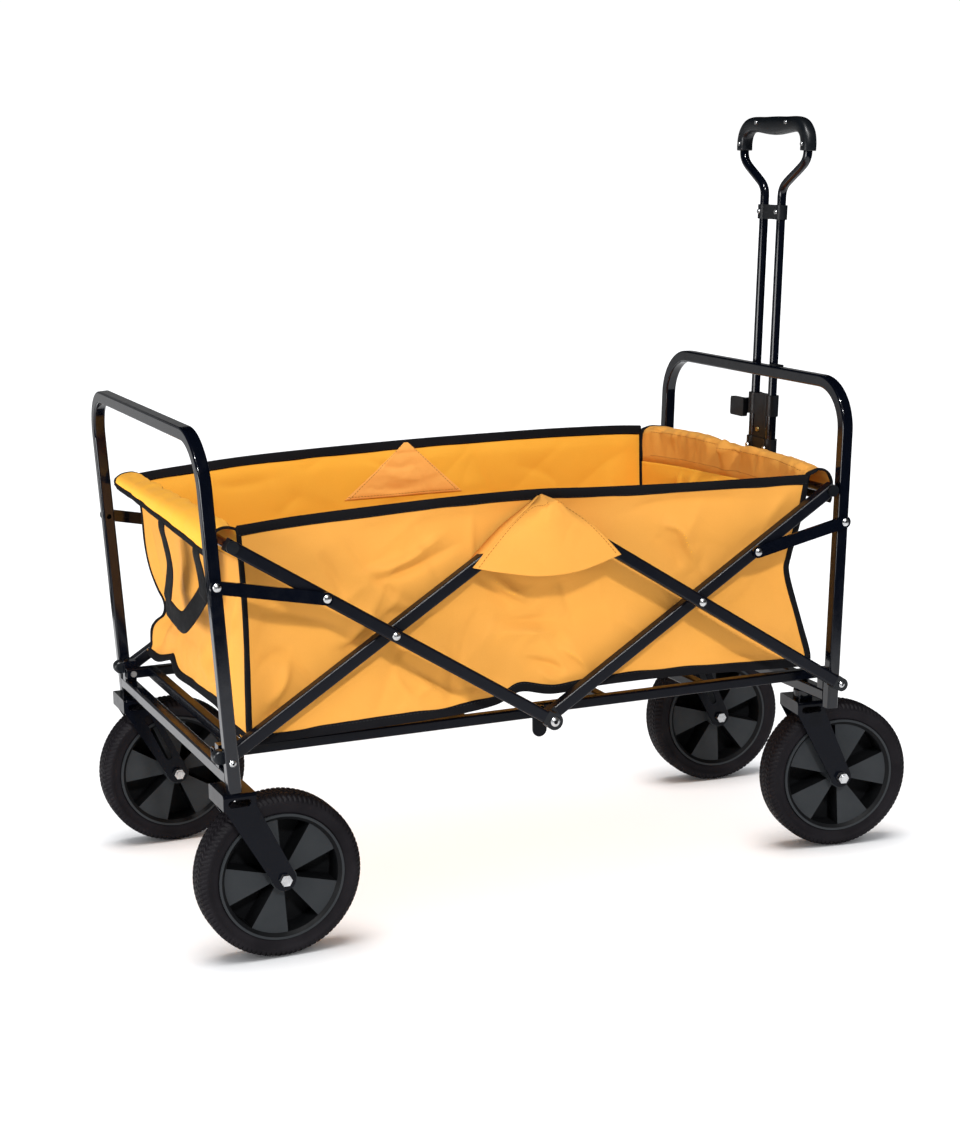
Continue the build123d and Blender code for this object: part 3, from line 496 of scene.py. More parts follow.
def paint_cad():
    for name in NODES:
        base = M_FRAME
        if "tyre" in name:
            base = M_TYRE
        elif name.endswith("_rim"):
            base = M_WHEEL
        elif "bolts" in name or "rivets" in name or name == "handle_screws":
            base = M_STEEL
        elif name in ("handle_clamp", "handle_lever", "handle_grip", "handle_lower_strap", "handle_upper_strap", "handle_clip"):
            base = M_PLASTIC
        elif name == "fabric_pull_strap":
            base = M_WEB
        elif name.startswith("fabric"):
            base = M_WALL
        elif name.endswith("_pad"):
            base = M_FLOORCLOTH
        # forks and floor rails take the shaded copy of the frame paint
        elif "fork" in name or name.startswith("floor_"):
            base = M_LOW_SHADED
        if name.endswith("_rim"):
            paint_rim(name)
        else:
            finish_node(name, base)
    for side in ("near", "far"):
        finish_node(f"link_b_{side}", M_LINK_LIT, M_PLASTIC, pick=lambda c, n: off(c, PL) < 20.0)
        finish_node(f"link_d_{side}", M_LINK_LIT, M_PLASTIC, pick=lambda c, n: off(c, PR) < 20.0)
        for k, y_out, r_end in (("a", 238.05, 20.0), ("c", 223.25, 20.0)):
            finish_node(
                f"link_{k}_{side}", M_LINK_LIT, M_PLASTIC,
                pick=lambda c, n, y=y_out, r=r_end: (off(c, BC) < r) | (np.abs(c[:, 1]) > y),
            )
        for e, y_out in (("rear", 242.55), ("front", 227.75)):
            finish_node(f"brace_{e}_{side}", M_FRAME, M_STEEL, pick=lambda c, n, y=y_out: np.abs(c[:, 1]) > y)
        finish_node(f"caster_{side}_bolts", M_STEEL, M_FRAME, pick=lambda c, n: c[:, 2] > 150)
    finish_node(
        "floor_rear_frame", M_LOW_SHADED, M_YELLOW, pick=lambda c, n: (off(c, BC) < 6.5) & (np.abs(c[:, 1]) > 196.85)
    )
    # the dimples in the rivet heads get painted shade
    for name, at, r in (("rear_pivot_rivets", PL, 1.5), ("front_pivot_rivets", PR, 1.5), ("link_a_near_rivets", BC, 2.5), ("link_a_far_rivets", BC, 2.5)):
        finish_node(name, M_STEEL, M_RECESS_SHADE, pick=lambda c, n, q=at, r=r: (off(c, q) < r) & (np.abs(c[:, 1]) > 237.5))
    finish_node("handle_outer_rivets", M_STEEL, M_YELLOW, pick=lambda c, n: (c[:, 2] > 482) & (c[:, 2] < 505))


paint_cad()

# ---------------------------------------------------------------- tyres
TYRES = {
    "rear_near": ((-318.0, -214.0, 90.0), 0.0), "rear_far": ((-318.0, 214.0, 90.0), 0.0),
    "front_near": (None, -8.0), "front_far": (None, -4.0),
}


def tyre_mesh():
    """Verts in mm about the wheel's centre, axle along Y."""
    lugs, per = 96, 6
    nt = lugs * per
    side = [(69.7, 16.9), (70.3, 17.7), (71.6, 18.1), (73.5, 18.15), (75.6, 18.3), (77.6, 18.75), (79.2, 19.3), (80.3, 19.7)]
    crown = []
    for k in range(11):
        a = math.radians(4 + 86 * k / 10)
        crown.append((81.0 + 9.0 * math.sin(a), 11.0 + 9.0 * math.cos(a)))
    flat = [(90.0, y) for y in (9.4, 7.8, 6.2, 4.6, 3.0, 1.5)]
    half = [(r, y, 0.0) for r, y in side] + [(r, y, 1.0) for r, y in crown] + [(r, y, 1.0) for r, y in flat]
    full = [(r, -y, t) for r, y, t in half] + [(90.0, 0.0, 1.0)] + [(r, y, t) for r, y, t in half[::-1]]
    v = np.zeros((len(full), nt, 3))
    ang = np.arange(nt) * 2 * math.pi / nt
    ph = np.arange(nt) / per
    for i, (r, y, t) in enumerate(full):
        depth = np.zeros(nt)
        ay = abs(y)
        if t:
            # chevron blocks in three bands, each band turned the other way
            band = 0 if ay < 5.4 else (1 if ay < 12.0 else 2)
            lean = (0.11, -0.10, 0.085)[band]
            swept = (ph + lean * ay + (0.5 if y > 0 else 0.0)) % 1.0
            cut = smoothstep(0.0, 0.10, swept) * smoothstep(0.36, 0.24, swept)
            depth = 1.7 * cut * float(smoothstep(20.2, 18.6, ay))
            groove = max(math.exp(-(((ay - 5.4) / 0.9) ** 2)), math.exp(-(((ay - 12.0) / 1.0) ** 2)))
            depth = np.maximum(depth, 1.2 * groove)
        rr = r - depth
        yy = y - math.copysign(1.0, y) * 0.35 * depth * float(smoothstep(13.0, 18.0, ay))
        v[i, :, 0], v[i, :, 1], v[i, :, 2] = rr * np.cos(ang), yy, rr * np.sin(ang)
    inner = np.zeros((2, nt, 3))
    for i, y in enumerate((16.9, -16.9)):
        inner[i, :, 0], inner[i, :, 1], inner[i, :, 2] = 66.4 * np.cos(ang), y, 66.4 * np.sin(ang)
    v = np.concatenate([v, inner])
    nr = len(v)
    faces = grid_faces(nr, nt, wrap=True, flip=True)
    faces += [((nr - 1) * nt + j, j, (j + 1) % nt, (nr - 1) * nt + (j + 1) % nt) for j in range(nt)]
    return v.reshape(-1, 3), faces


def build_tyres():
    v0, f0 = tyre_mesh()
    for key, (at, yaw) in TYRES.items():
        lo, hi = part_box(f"wheel_{key}_tyre")
        mid = np.array((lo + hi) / 2)
        a = math.radians(yaw)
        rot = np.array([[math.cos(a), -math.sin(a), 0], [math.sin(a), math.cos(a), 0], [0, 0, 1]])
        spin = math.radians(11 * len(key))
        sp = np.array([[math.cos(spin), 0, math.sin(spin)], [0, 1, 0], [-math.sin(spin), 0, math.cos(spin)]])
        v = (v0 @ sp.T) @ rot.T / 1000.0 + mid
        ob = mesh_obj(f"tyre_{key}", v, f0, M_TYRE)
        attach(ob, f"wheel_{key}")
        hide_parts(f"wheel_{key}_tyre")


build_tyres()

# ---------------------------------------------------------------- grip
LEAN = math.radians(2.4)
HX0 = 386.54


def on_handle(p):
    """From handle coordinates (mm, pin axis at the origin, tubes along z) to the wagon's mm."""
    p = np.asarray(p, float)
    x = p[..., 0] * math.cos(LEAN) + p[..., 2] * math.sin(LEAN)
    z = -p[..., 0] * math.sin(LEAN) + p[..., 2] * math.cos(LEAN)
    return np.stack([HX0 + x, p[..., 1], 212.0 + z], axis=-1)


def build_grip():
    path = curve(
        [(-75, 624), (-75, 633), (-71.8, 643.5), (-62.5, 651.8), (-47, 654.6), (-20, 653.4), (0, 652.9), (20, 653.4), (47, 654.6),
         (62.5, 651.8), (71.8, 643.5), (75, 633), (75, 624)], 110,
    )
    t = np.gradient(path, axis=0)
    t /= np.linalg.norm(t, axis=1, keepdims=True)
    nrm = np.stack([-t[:, 1], t[:, 0]], 1)  # in the y-z plane, outwards over the top
    s = np.abs(path[:, 0])
    down = smoothstep(58, 74, s)  # 0 on the bar, 1 on the arms
    half_n = 9.2 * (1 - down) + 8.6 * down + 2.0 * np.exp(-((s / 27) ** 2)) * (1 - down)
    half_x = 9.0 + 0.0 * s
    m = 28
    rings = []
    for k in range(len(path)):
        ring = []
        for j in range(m):
            a = 2 * math.pi * j / m
            ca, sa = math.cos(a), math.sin(a)
            e = 0.74
            u = math.copysign(abs(ca) ** e, ca) * half_x[k]
            w = math.copysign(abs(sa) ** e, sa) * half_n[k]
            ring.append((u, path[k, 0] + nrm[k, 0] * w, path[k, 1] + nrm[k, 1] * w))
        rings.append(ring)
    v = np.array(rings)
    # rounded lips at the two open ends
    ctr0, ctr1 = v[0].mean(0), v[-1].mean(0)
    a0 = ctr0 + (v[0] - ctr0) * 0.95 + np.array([0, 0, -0.9])
    a1 = ctr1 + (v[-1] - ctr1) * 0.95 + np.array([0, 0, -0.9])
    b0 = ctr0 + (v[0] - ctr0) * 0.70 + np.array([0, 0, -0.6])
    b1 = ctr1 + (v[-1] - ctr1) * 0.70 + np.array([0, 0, -0.6])
    v = np.concatenate([[b0, a0], v, [a1, b1]])
    n = len(v)
    faces = grid_faces(n, m, wrap=True)
    faces.append(tuple(range(m))[::-1])
    faces.append(tuple((n - 1) * m + j for j in range(m)))
    pts = W(on_handle(v.reshape(-1, 3)))
    ob = mesh_obj("grip", pts, faces, M_PLASTIC)
    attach(ob, "handle_upper")
    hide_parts("handle_grip")
    return ob


build_grip()


# ---------------------------------------------------------------- basket
def coons(bottom, top, left, right, nr, nc):
    """Grid (nr, nc, 3), row 0 at the bottom, from four edge lines."""
    b, t = curve(bottom, nc), curve(top, nc)
    l, r = curve(left, nr), curve(right, nr)
    u = np.linspace(0, 1, nc)[None, :, None]
    v = np.linspace(0, 1, nr)[:, None, None]
    g = (1 - v) * b[None] + v * t[None] + (1 - u) * l[:, None] + u * r[:, None]
    g -= (1 - u) * (1 - v) * b[0] + u * (1 - v) * b[-1] + (1 - u) * v * t[0] + u * v * t[-1]
    return g


def finer(g, k):
    """The grid with k times as many cells each way, smoothly."""
    nr, nc = g.shape[:2]

    def up(a, n):
        m = a.shape[0]
        x = np.linspace(0, m - 1, n)
        i = np.clip(np.floor(x).astype(int), 0, m - 2)
        t = (x - i)[:, None, None]
        p0, p1, p2, p3 = a[np.maximum(i - 1, 0)], a[i], a[i + 1], a[np.minimum(i + 2, m - 1)]
        return 0.5 * (2 * p1 + (p2 - p0) * t + (2 * p0 - 5 * p1 + 4 * p2 - p3) * t**2 + (3 * p1 - p0 - 3 * p2 + p3) * t**3)

    g = up(g, (nr - 1) * k + 1)
    return up(g.transpose(1, 0, 2), (nc - 1) * k + 1).transpose(1, 0, 2)


def fold_field(a, b, lines):
    """Height of cloth folds at in-plane places (a, b), mm. Each line is (points, height, width, skew): a ridge or valley with one
    side steeper than the other, fading out at its two ends."""
    out = np.zeros(a.shape)
    for pts, amp, w, skew in lines:
        p = curve(pts, 36)
        t = np.gradient(p, axis=0)
        t /= np.linalg.norm(t, axis=1, keepdims=True)
        da = a[..., None] - p[:, 0]
        db = b[..., None] - p[:, 1]
        k = np.argmin(da**2 + db**2, axis=-1)
        ka = np.take_along_axis(da, k[..., None], -1)[..., 0]
        kb = np.take_along_axis(db, k[..., None], -1)[..., 0]
        tt = t[k]
        across = -ka * tt[..., 1] + kb * tt[..., 0]
        along = ka * tt[..., 0] + kb * tt[..., 1]
        s = k / (len(p) - 1.0)
        fade = np.sin(np.pi * np.clip(s, 0.02, 0.98)) ** 0.7 * np.exp(-((along / (0.8 * w)) ** 2))
        ww = np.where(across > 0, w * (1 + skew), w * (1 - skew))
        out += amp * fade * np.exp(-1.7 * (np.sqrt((across / ww) ** 2 + 0.03) - 0.173))
    return out


def random_folds(seed, count, box, length, amp, width, angle=None):
    rng = np.random.default_rng(seed)
    out = []
    for _ in range(count):
        c = np.array((rng.uniform(box[0], box[1]), rng.uniform(box[2], box[3])))
        a = rng.uniform(0, math.pi) if angle is None else math.radians(rng.normal(*angle))
        d = np.array((math.cos(a), math.sin(a))) * rng.uniform(*length) / 2
        bow = np.array((-d[1], d[0])) * rng.uniform(-0.35, 0.35)
        out.append(([c - d, c + bow, c + d], rng.uniform(*amp) * rng.choice((-1, 1)), rng.uniform(*width), rng.uniform(-0.55, 0.55)))
    return out


def edge_strip(g, edge, width, count=5):
    """Points (n, count, 3) from an edge of the grid into the sheet, over a given width."""
    if edge == "top":
        a = g[::-1].transpose(1, 0, 2)
    elif edge == "bottom":
        a = g.transpose(1, 0, 2)
    elif edge == "left":
        a = g
    else:
        a = g[:, ::-1]
    out = np.zeros((a.shape[0], count, 3))
    for i in range(a.shape[0]):
        line = a[i]
        s = np.concatenate([[0], np.cumsum(np.linalg.norm(np.diff(line, axis=0), axis=1))])
        want = np.linspace(0, width, count)
        for k in range(3):
            out[i, :, k] = np.interp(want, s, line[:, k])
    return out


def binding(g, edge, width, lift=0.0011, roll=0.0012, wave=0.0, seed=3):
    """A tape folded over an edge of a sheet: closed verts and faces."""
    st = edge_strip(g, edge, width)
    n, m = st.shape[:2]
    d = st[:, 1] - st[:, 0]
    d /= np.linalg.norm(d, axis=1, keepdims=True)
    t = np.gradient(st[:, 0], axis=0)
    t /= np.linalg.norm(t, axis=1, keepdims=True)
    nn = np.cross(t, d)
    nn /= np.linalg.norm(nn, axis=1, keepdims=True)
    th = 0.0007
    loop = []
    wob = 1 + wave * noise(st[:, 0] * 1.0, 30, seed)
    for k in range(m - 1, -1, -1):
        w = k / (m - 1)
        loop.append(st[:, 0] + (st[:, k] - st[:, 0]) * wob[:, None] + nn * (lift + 0.0004 * math.sin(math.pi * w)))
    for a in (60, 90, 120):
        q = math.radians(a)
        loop.append(st[:, 0] - d * roll * math.sin(q) + nn * lift * math.cos(q))
    for k in range(m):
        w = k / (m - 1)
        loop.append(st[:, 0] + (st[:, k] - st[:, 0]) * wob[:, None] - nn * (lift + 0.0004 * math.sin(math.pi * w)))
    inner = []
    for k in range(m - 1, -1, -1):
        inner.append(st[:, 0] + (st[:, k] - st[:, 0]) * wob[:, None] - nn * max(lift - th, 0.0002))
    for k in range(m):
        inner.append(st[:, 0] + (st[:, k] - st[:, 0]) * wob[:, None] + nn * max(lift - th, 0.0002))
    v = np.stack(loop + inner, axis=1)
    cnt = v.shape[1]
    faces = grid_faces(n, cnt, wrap=True)
    faces.append(tuple(range(cnt))[::-1])
    faces.append(tuple((n - 1) * cnt + k for k in range(cnt)))
    return v.reshape(-1, 3), faces


# corner lines, from the bottom up, mm
NEAR_REAR = [(-339, -204.0, 231), (-341, -204.5, 252), (-340.5, -204.8, 347), (-342.5, -205, 412), (-346, -205.3, 466)]
NEAR_FRONT = [(345, -204.5, 242), (346, -203, 258), (336, -198, 298), (322.5, -193, 352), (324, -194, 372), (329, -197, 395),
              (335, -201, 425), (341, -205, 468)]
FAR_REAR = [(-347, 197, 243), (-344, 190, 255), (-343, 188, 275), (-339, 182, 286), (-332, 169, 297), (-331, 167, 312),
            (-336, 175.5, 327), (-341.7, 186, 351), (-345, 192.5, 380), (-346.5, 195, 416), (-347.5, 201, 445), (-347, 204.5, 464)]
FAR_FRONT = [(345, 204, 243), (338, 200, 300), (333, 198, 350), (332.2, 202, 402), (333, 205, 477)]
NEAR_TOP = [(-346, 466), (-277.5, 471), (-165.5, 475.5), (-84.7, 477.7), (-1.7, 477.8), (71.2, 474.3), (196.8, 470.2), (341, 468)]
NEAR_LOW = [(-339, 231), (-200.8, 233.4), (-115, 235.7), (-57.3, 241.8), (-27, 253.5), (14, 246.5), (79, 249.6), (179, 248.8),
            (300, 243), (345, 242)]
FAR_TOP = [(-347, 464), (-300, 468.5), (-192.5, 476), (-1, 481), (158.5, 481.8), (216, 481.4), (270, 480.2), (303, 479), (333, 477)]
FAR_LOW = [(-347, 243), (-250, 237), (-110, 236), (-30, 250), (60, 247), (200, 246), (345, 243)]
REAR_LOW = [(197, 243), (145, 245.5), (95, 258), (78, 261), (56, 248), (-10, 250), (-74, 251.5), (-118, 251), (-170, 240), (-204, 231)]
FRONT_LOW = [(-204.5, 242), (-120, 248), (0, 246), (120, 249), (204, 243)]

NEAR_FOLDS = [
    ([(-115, 437), (-165, 413), (-212, 402)], 5.0, 15, 0.5),
    ([(-95, 425), (-150, 402), (-205, 392)], -4.5, 13, -0.4),
    ([(-257, 433), (-240, 400), (-228, 372)], -2.6, 11, 0.4),
    ([(-60, 385), (-38, 366), (-15, 352)], 3.2, 9, 0.6),
    ([(-80, 392), (-52, 368), (-34, 345)], -3.0, 12, -0.3),
    ([(-60, 335), (-20, 331), (15, 330)], -2.6, 8, 0.6),
    ([(-58, 322), (-18, 320), (22, 315)], 3.0, 14, -0.4),
    ([(-75, 352), (-90, 320), (-98, 290)], -3.4, 16, 0.4),
    ([(-225, 330), (-206, 346), (-190, 352)], 3.8, 8, 0.65),
    ([(-236, 322), (-215, 326), (-188, 338)], -4.2, 12, -0.5),
    ([(-325, 372), (-270, 360), (-232, 346)], -3.2, 16, 0.5),
    ([(-318, 268), (-300, 290), (-290, 320)], 3.2, 14, 0.3),
    ([(-326, 250), (-305, 262), (-292, 258)], -3.6, 10, 0.2),
    ([(-175, 318), (-150, 290), (-120, 270)], -3.4, 18, 0.4),
    ([(-160, 300), (-120, 262), (-60, 258)], 3.0, 14, -0.4),
    ([(20, 300), (45, 282), (60, 262)], 3.2, 10, 0.5),
    ([(-20, 290), (12, 280), (30, 268)], -3.0, 9, -0.5),
    ([(-5, 275), (15, 258), (30, 254)], 2.6, 8, 0.3),
    ([(150, 425), (172, 418), (183, 398), (196, 375)], 4.6, 13, 0.6),
    ([(140, 412), (165, 398), (178, 372)], -4.2, 17, -0.4),
    ([(90, 440), (160, 452), (250, 448)], -2.6, 18, 0.2),
    ([(190, 380), (215, 355), (240, 345)], 2.6, 15, 0.3),
    ([(255, 375), (290, 384), (316, 390)], -3.0, 14, 0.3),
    ([(262, 300), (300, 280), (330, 262)], 2.6, 16, -0.3),
    ([(90, 330), (130, 300), (170, 285)], 2.2, 22, 0.3),
    ([(220, 270), (260, 262), (310, 255)], -2.0, 14, 0.2),
]


def cut_line(line, z0, z1):
    """The part of a corner line between two heights."""
    p = curve(line, 240)
    keep = p[(p[:, 2] > z0 + 2) & (p[:, 2] < z1 - 2)]
    a = np.array([np.interp(z0, p[:, 2], p[:, k]) for k in range(3)])
    b = np.array([np.interp(z1, p[:, 2], p[:, k]) for k in range(3)])
    return np.vstack([a, keep[:: max(1, len(keep) // 16)], b])


def with_y(line, y):
    return [(x, y, z) for x, z in line]


def rim_fade(nr, nc, rows, cols):
    """1 inside the sheet, 0 at its edges."""
    v = np.minimum(np.arange(nr), np.arange(nr)[::-1])[:, None] / float(rows)
    u = np.minimum(np.arange(nc), np.arange(nc)[::-1])[None, :] / float(cols)
    return smoothstep(0, 1, np.minimum(v, 1)) * smoothstep(0, 1, np.minimum(u, 1))


def link_gap(x, z):
    """Distance from the nearest link, in the plane of the side, mm."""
    ends = [((-369, 223), (0, 456)), ((-361, 451), (0, 223)), ((0, 223), (361, 451)), ((0, 456), (369, 223))]
    best = np.full(x.shape, 1e9)
    for (x0, z0), (x1, z1) in ends:
        t = np.clip(((x - x0) * (x1 - x0) + (z - z0) * (z1 - z0)) / ((x1 - x0) ** 2 + (z1 - z0) ** 2), 0, 1)
        best = np.minimum(best, np.hypot(x - x0 - t * (x1 - x0), z - z0 - t * (z1 - z0)))
    return best


def crumple(a, b, seed):
    """Sharp creases of cloth that was folded up: ridges where slanting noise crosses nought, mm."""
    u, v = 0.80 * a + 0.60 * b, 0.60 * a - 0.80 * b
    out = np.zeros(a.shape)
    for amp, lu, lv, k in ((4.2, 150.0, 70.0, 0), (2.2, 60.0, 46.0, 5)):
        n = noise(np.stack([u / lu, v / lv, 0 * u], -1), 1.0, seed + k)
        big = smoothstep(-0.25, 0.45, noise(np.stack([u / lu, v / lv, 0 * u + 9.0], -1), 0.6, seed + k + 2))
        out += amp * big * np.exp(-np.sqrt((n / 0.22) ** 2 + 0.01))
    return out


SHEET_T = 0.0009


def line_len(p):
    return float(np.linalg.norm(np.diff(p, axis=0), axis=1).sum())


def ride_side(ob):
    """A side piece goes with the basket, on a mesh of its own."""
    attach(ob, "basket")
    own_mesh(ob)


def on_panel(g, x, z):
    """Points of a panel's grid at the places (x, z), in metres."""
    nr, nc = g.shape[:2]
    r = np.full(x.shape, nr * 0.7)
    c = (x - g[0, 0, 0]) / (g[0, -1, 0] - g[0, 0, 0]) * (nc - 1)
    for _ in range(12):
        r, c = np.clip(r, 0, nr - 1.001), np.clip(c, 0, nc - 1.001)
        i, j = r.astype(int), c.astype(int)
        u, v = (r - i)[..., None], (c - j)[..., None]
        p = (g[i, j] * (1 - v) + g[i, j + 1] * v) * (1 - u) + (g[i + 1, j] * (1 - v) + g[i + 1, j + 1] * v) * u
        r = r + (z - p[..., 2]) / (g[-1, nc // 2, 2] - g[0, nc // 2, 2]) * (nr - 1)
        c = c + (x - p[..., 0]) / (g[0, -1, 0] - g[0, 0, 0]) * (nc - 1)
    return p


def build_patch(side, g):
    """A sewn three-sided patch on the inside of the panel, behind the flap."""
    s = -1 if side == "near" else 1
    apex, left, right = np.array((-1.0, 481.0)), np.array((-86.0, 411.3)), np.array((73.0, 411.6))
    nr, nc = 40, 60
    t = np.linspace(0.03, 1, nr)[:, None, None]
    k = np.linspace(0, 1, nc)[None, :, None]
    q = apex + (left - apex) * t * (1 - k) + (right - apex) * t * k
    at = W(np.stack([q[..., 0], 0 * q[..., 0], q[..., 1]], -1))
    p = on_panel(g, at[..., 0], at[..., 2])
    flat = np.stack([q[..., 0], 0 * q[..., 0], q[..., 1]], -1)
    puff = 0.6 + 0.9 * np.abs(noise(flat, 1 / 26.0, 61)) + 0.5 * np.abs(noise(flat, 1 / 11.0, 62))
    p[..., 1] -= s * (0.0014 + 0.0016 * smoothstep(466, 470, q[..., 1]) + 0.001 * puff * rim_fade(nr, nc, 4, 5))
    if s > 0:
        p = p[:, ::-1]
    v, f = thick_sheet(p, 0.0006)
    ob = mesh_obj(f"side_patch_{side}", v, f, M_PATCH)
    nrm = np.zeros_like(p)
    nrm[..., 1] = -s
    runs = [stitches(p[2:, 2], nrm[2:, 2], lift=0.0004), stitches(p[2:, -3], nrm[2:, -3], lift=0.0004), stitches(p[-3], nrm[-3], lift=0.0004)]
    sv, sf, sm = join_parts([(*a, 0) for a in runs])
    return ob, mesh_obj(f"side_patch_stitching_{side}", sv, sf, M_THREAD)


def build_side(side):
    s = -1 if side == "near" else 1
    if side == "near":
        top, low, left, right = NEAR_TOP, NEAR_LOW, NEAR_REAR, NEAR_FRONT
        folds = [(pts, 2.0 * amp, 0.75 * w, skew) for pts, amp, w, skew in NEAR_FOLDS]
        folds += random_folds(17, 22, (-325, 70, 258, 440), (60, 150), (2.0, 4.4), (8, 15), (150, 45))
        folds += random_folds(19, 7, (90, 320, 262, 440), (60, 140), (1.8, 3.4), (10, 18), (35, 40))
    else:
        top, low, left, right = FAR_TOP, FAR_LOW, FAR_REAR, FAR_FRONT
        folds = random_folds(5, 22, (-310, 310, 265, 440), (70, 190), (1.8, 4.2), (12, 26), (150, 35))
        folds += [
            ([(-60, 462), (-20, 448), (20, 452)], 3.0, 9, 0.5), ([(-30, 440), (10, 432), (40, 440)], -3.2, 10, 0.4),
            ([(-62, 425), (-20, 419), (20, 422)], 2.6, 8, 0.5), ([(-290, 460), (-230, 440), (-150, 452)], 3.4, 20, 0.4),
        ]
    left, right = np.array(left, float), np.array(right, float)
    tp = [tuple(left[-1])] + with_y(top[1:-1], s * 205.0) + [tuple(right[-1])]
    bt = [tuple(left[0])] + with_y(low[1:-1], s * 204.0) + [tuple(right[0])]
    g = coons(bt, tp, left, right, 79, 233)
    nr, nc = g.shape[:2]
    x, z = g[..., 0], g[..., 2]
    # the hollow of the end edges runs out before the line of the folded floor rails
    hollow = np.maximum(0, 204.5 - np.abs(g[..., 1])) * smoothstep(-312, -196, x) * (1 - smoothstep(180, 290, x))
    g[..., 1] += s * hollow
    h = fold_field(x, z, folds)
    q = np.stack([x, 0 * x, z], -1)
    h = h + 2.4 * noise(q, 1 / 120.0, 2 + s) + 1.1 * noise(q, 1 / 55.0, 9 + s) + 0.35 * noise(q, 1 / 24.0, 14 + s)
    h = h + (1.5 if side == "near" else 1.0) * crumple(x, z, 30 + s) * (1 - 0.6 * smoothstep(40, 120, x))
    h = (h - 4.2) * rim_fade(nr, nc, 9, 10)
    room = 1.6 + 8.0 * smoothstep(9, 34, link_gap(x, z))  # how far out the cloth may stand
    h = np.where(h > 0, room * np.tanh(h / room), h)
    # folded, the floor rails and their hinge stand just inside this line of the cloth: it stays shallow there
    deep = 8.2 + 14.0 * smoothstep(34, 72, np.abs(x + (391 - z) * 1.3))
    plate = np.maximum(np.abs(z - 391) - 6.0, (np.abs(x - 46) - 94.0) * 0.5)
    deep = np.minimum(deep, 6.6 + 14.0 * smoothstep(6, 34, plate))
    deep = np.minimum(deep, 2.8 + 14.0 * smoothstep(1.0, 2.4, np.hypot((x - 6) / 38.0, (z - 391) / 14.0)))
    h = np.where(h < 0, -deep * np.tanh(-h / deep), h)
    g[..., 1] += s * h
    g = W(g)
    v, f = thick_sheet(g, SHEET_T)
    # the inward face takes the brighter inside copy of the cloth: painted bounce light
    ob = mesh_obj(f"side_panel_{side}", v, f, [M_WALL, M_INSIDE_LIT], face_mat=two_faced(g, (0, -s, 0)))
    parts = [(*binding(g, "top", 0.0108, wave=0.06), 0), (*binding(g, "bottom", 0.0098, wave=0.14, seed=9), 0)]
    parts += [(*binding(g, "left", 0.0038 if side == "near" else 0.0052, wave=0.10, seed=4), 0)]
    parts += [(*binding(g, "right", 0.0068 if side == "near" else 0.0022, wave=0.12, seed=6), 0)]
    tv, tf, tm = join_parts(parts)
    tape = mesh_obj(f"side_binding_{side}", tv, tf, M_TAPE)
    nrm = grid_normals(g)
    st = []
    for edge, w in (("top", 0.0092), ("bottom", 0.0082)):
        line = edge_strip(g, edge, w, 3)[:, 2]
        row = nrm[-4] if edge == "top" else nrm[3]
        for sg in (1, -1):
            st.append((*stitches(line, row * sg, lift=0.0014), 0))
    sv, sf, sm = join_parts(st)
    thread = mesh_obj(f"side_stitching_{side}", sv, sf, M_BLACKTHREAD)
    patch, patch_thread = build_patch(side, g)
    for o in (ob, tape, thread, patch, patch_thread):
        ride_side(o)
    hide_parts(f"fabric_side_{side}_rear", f"fabric_side_{side}_front")
    return g


G_NEAR = build_side("near")
G_FAR = build_side("far")


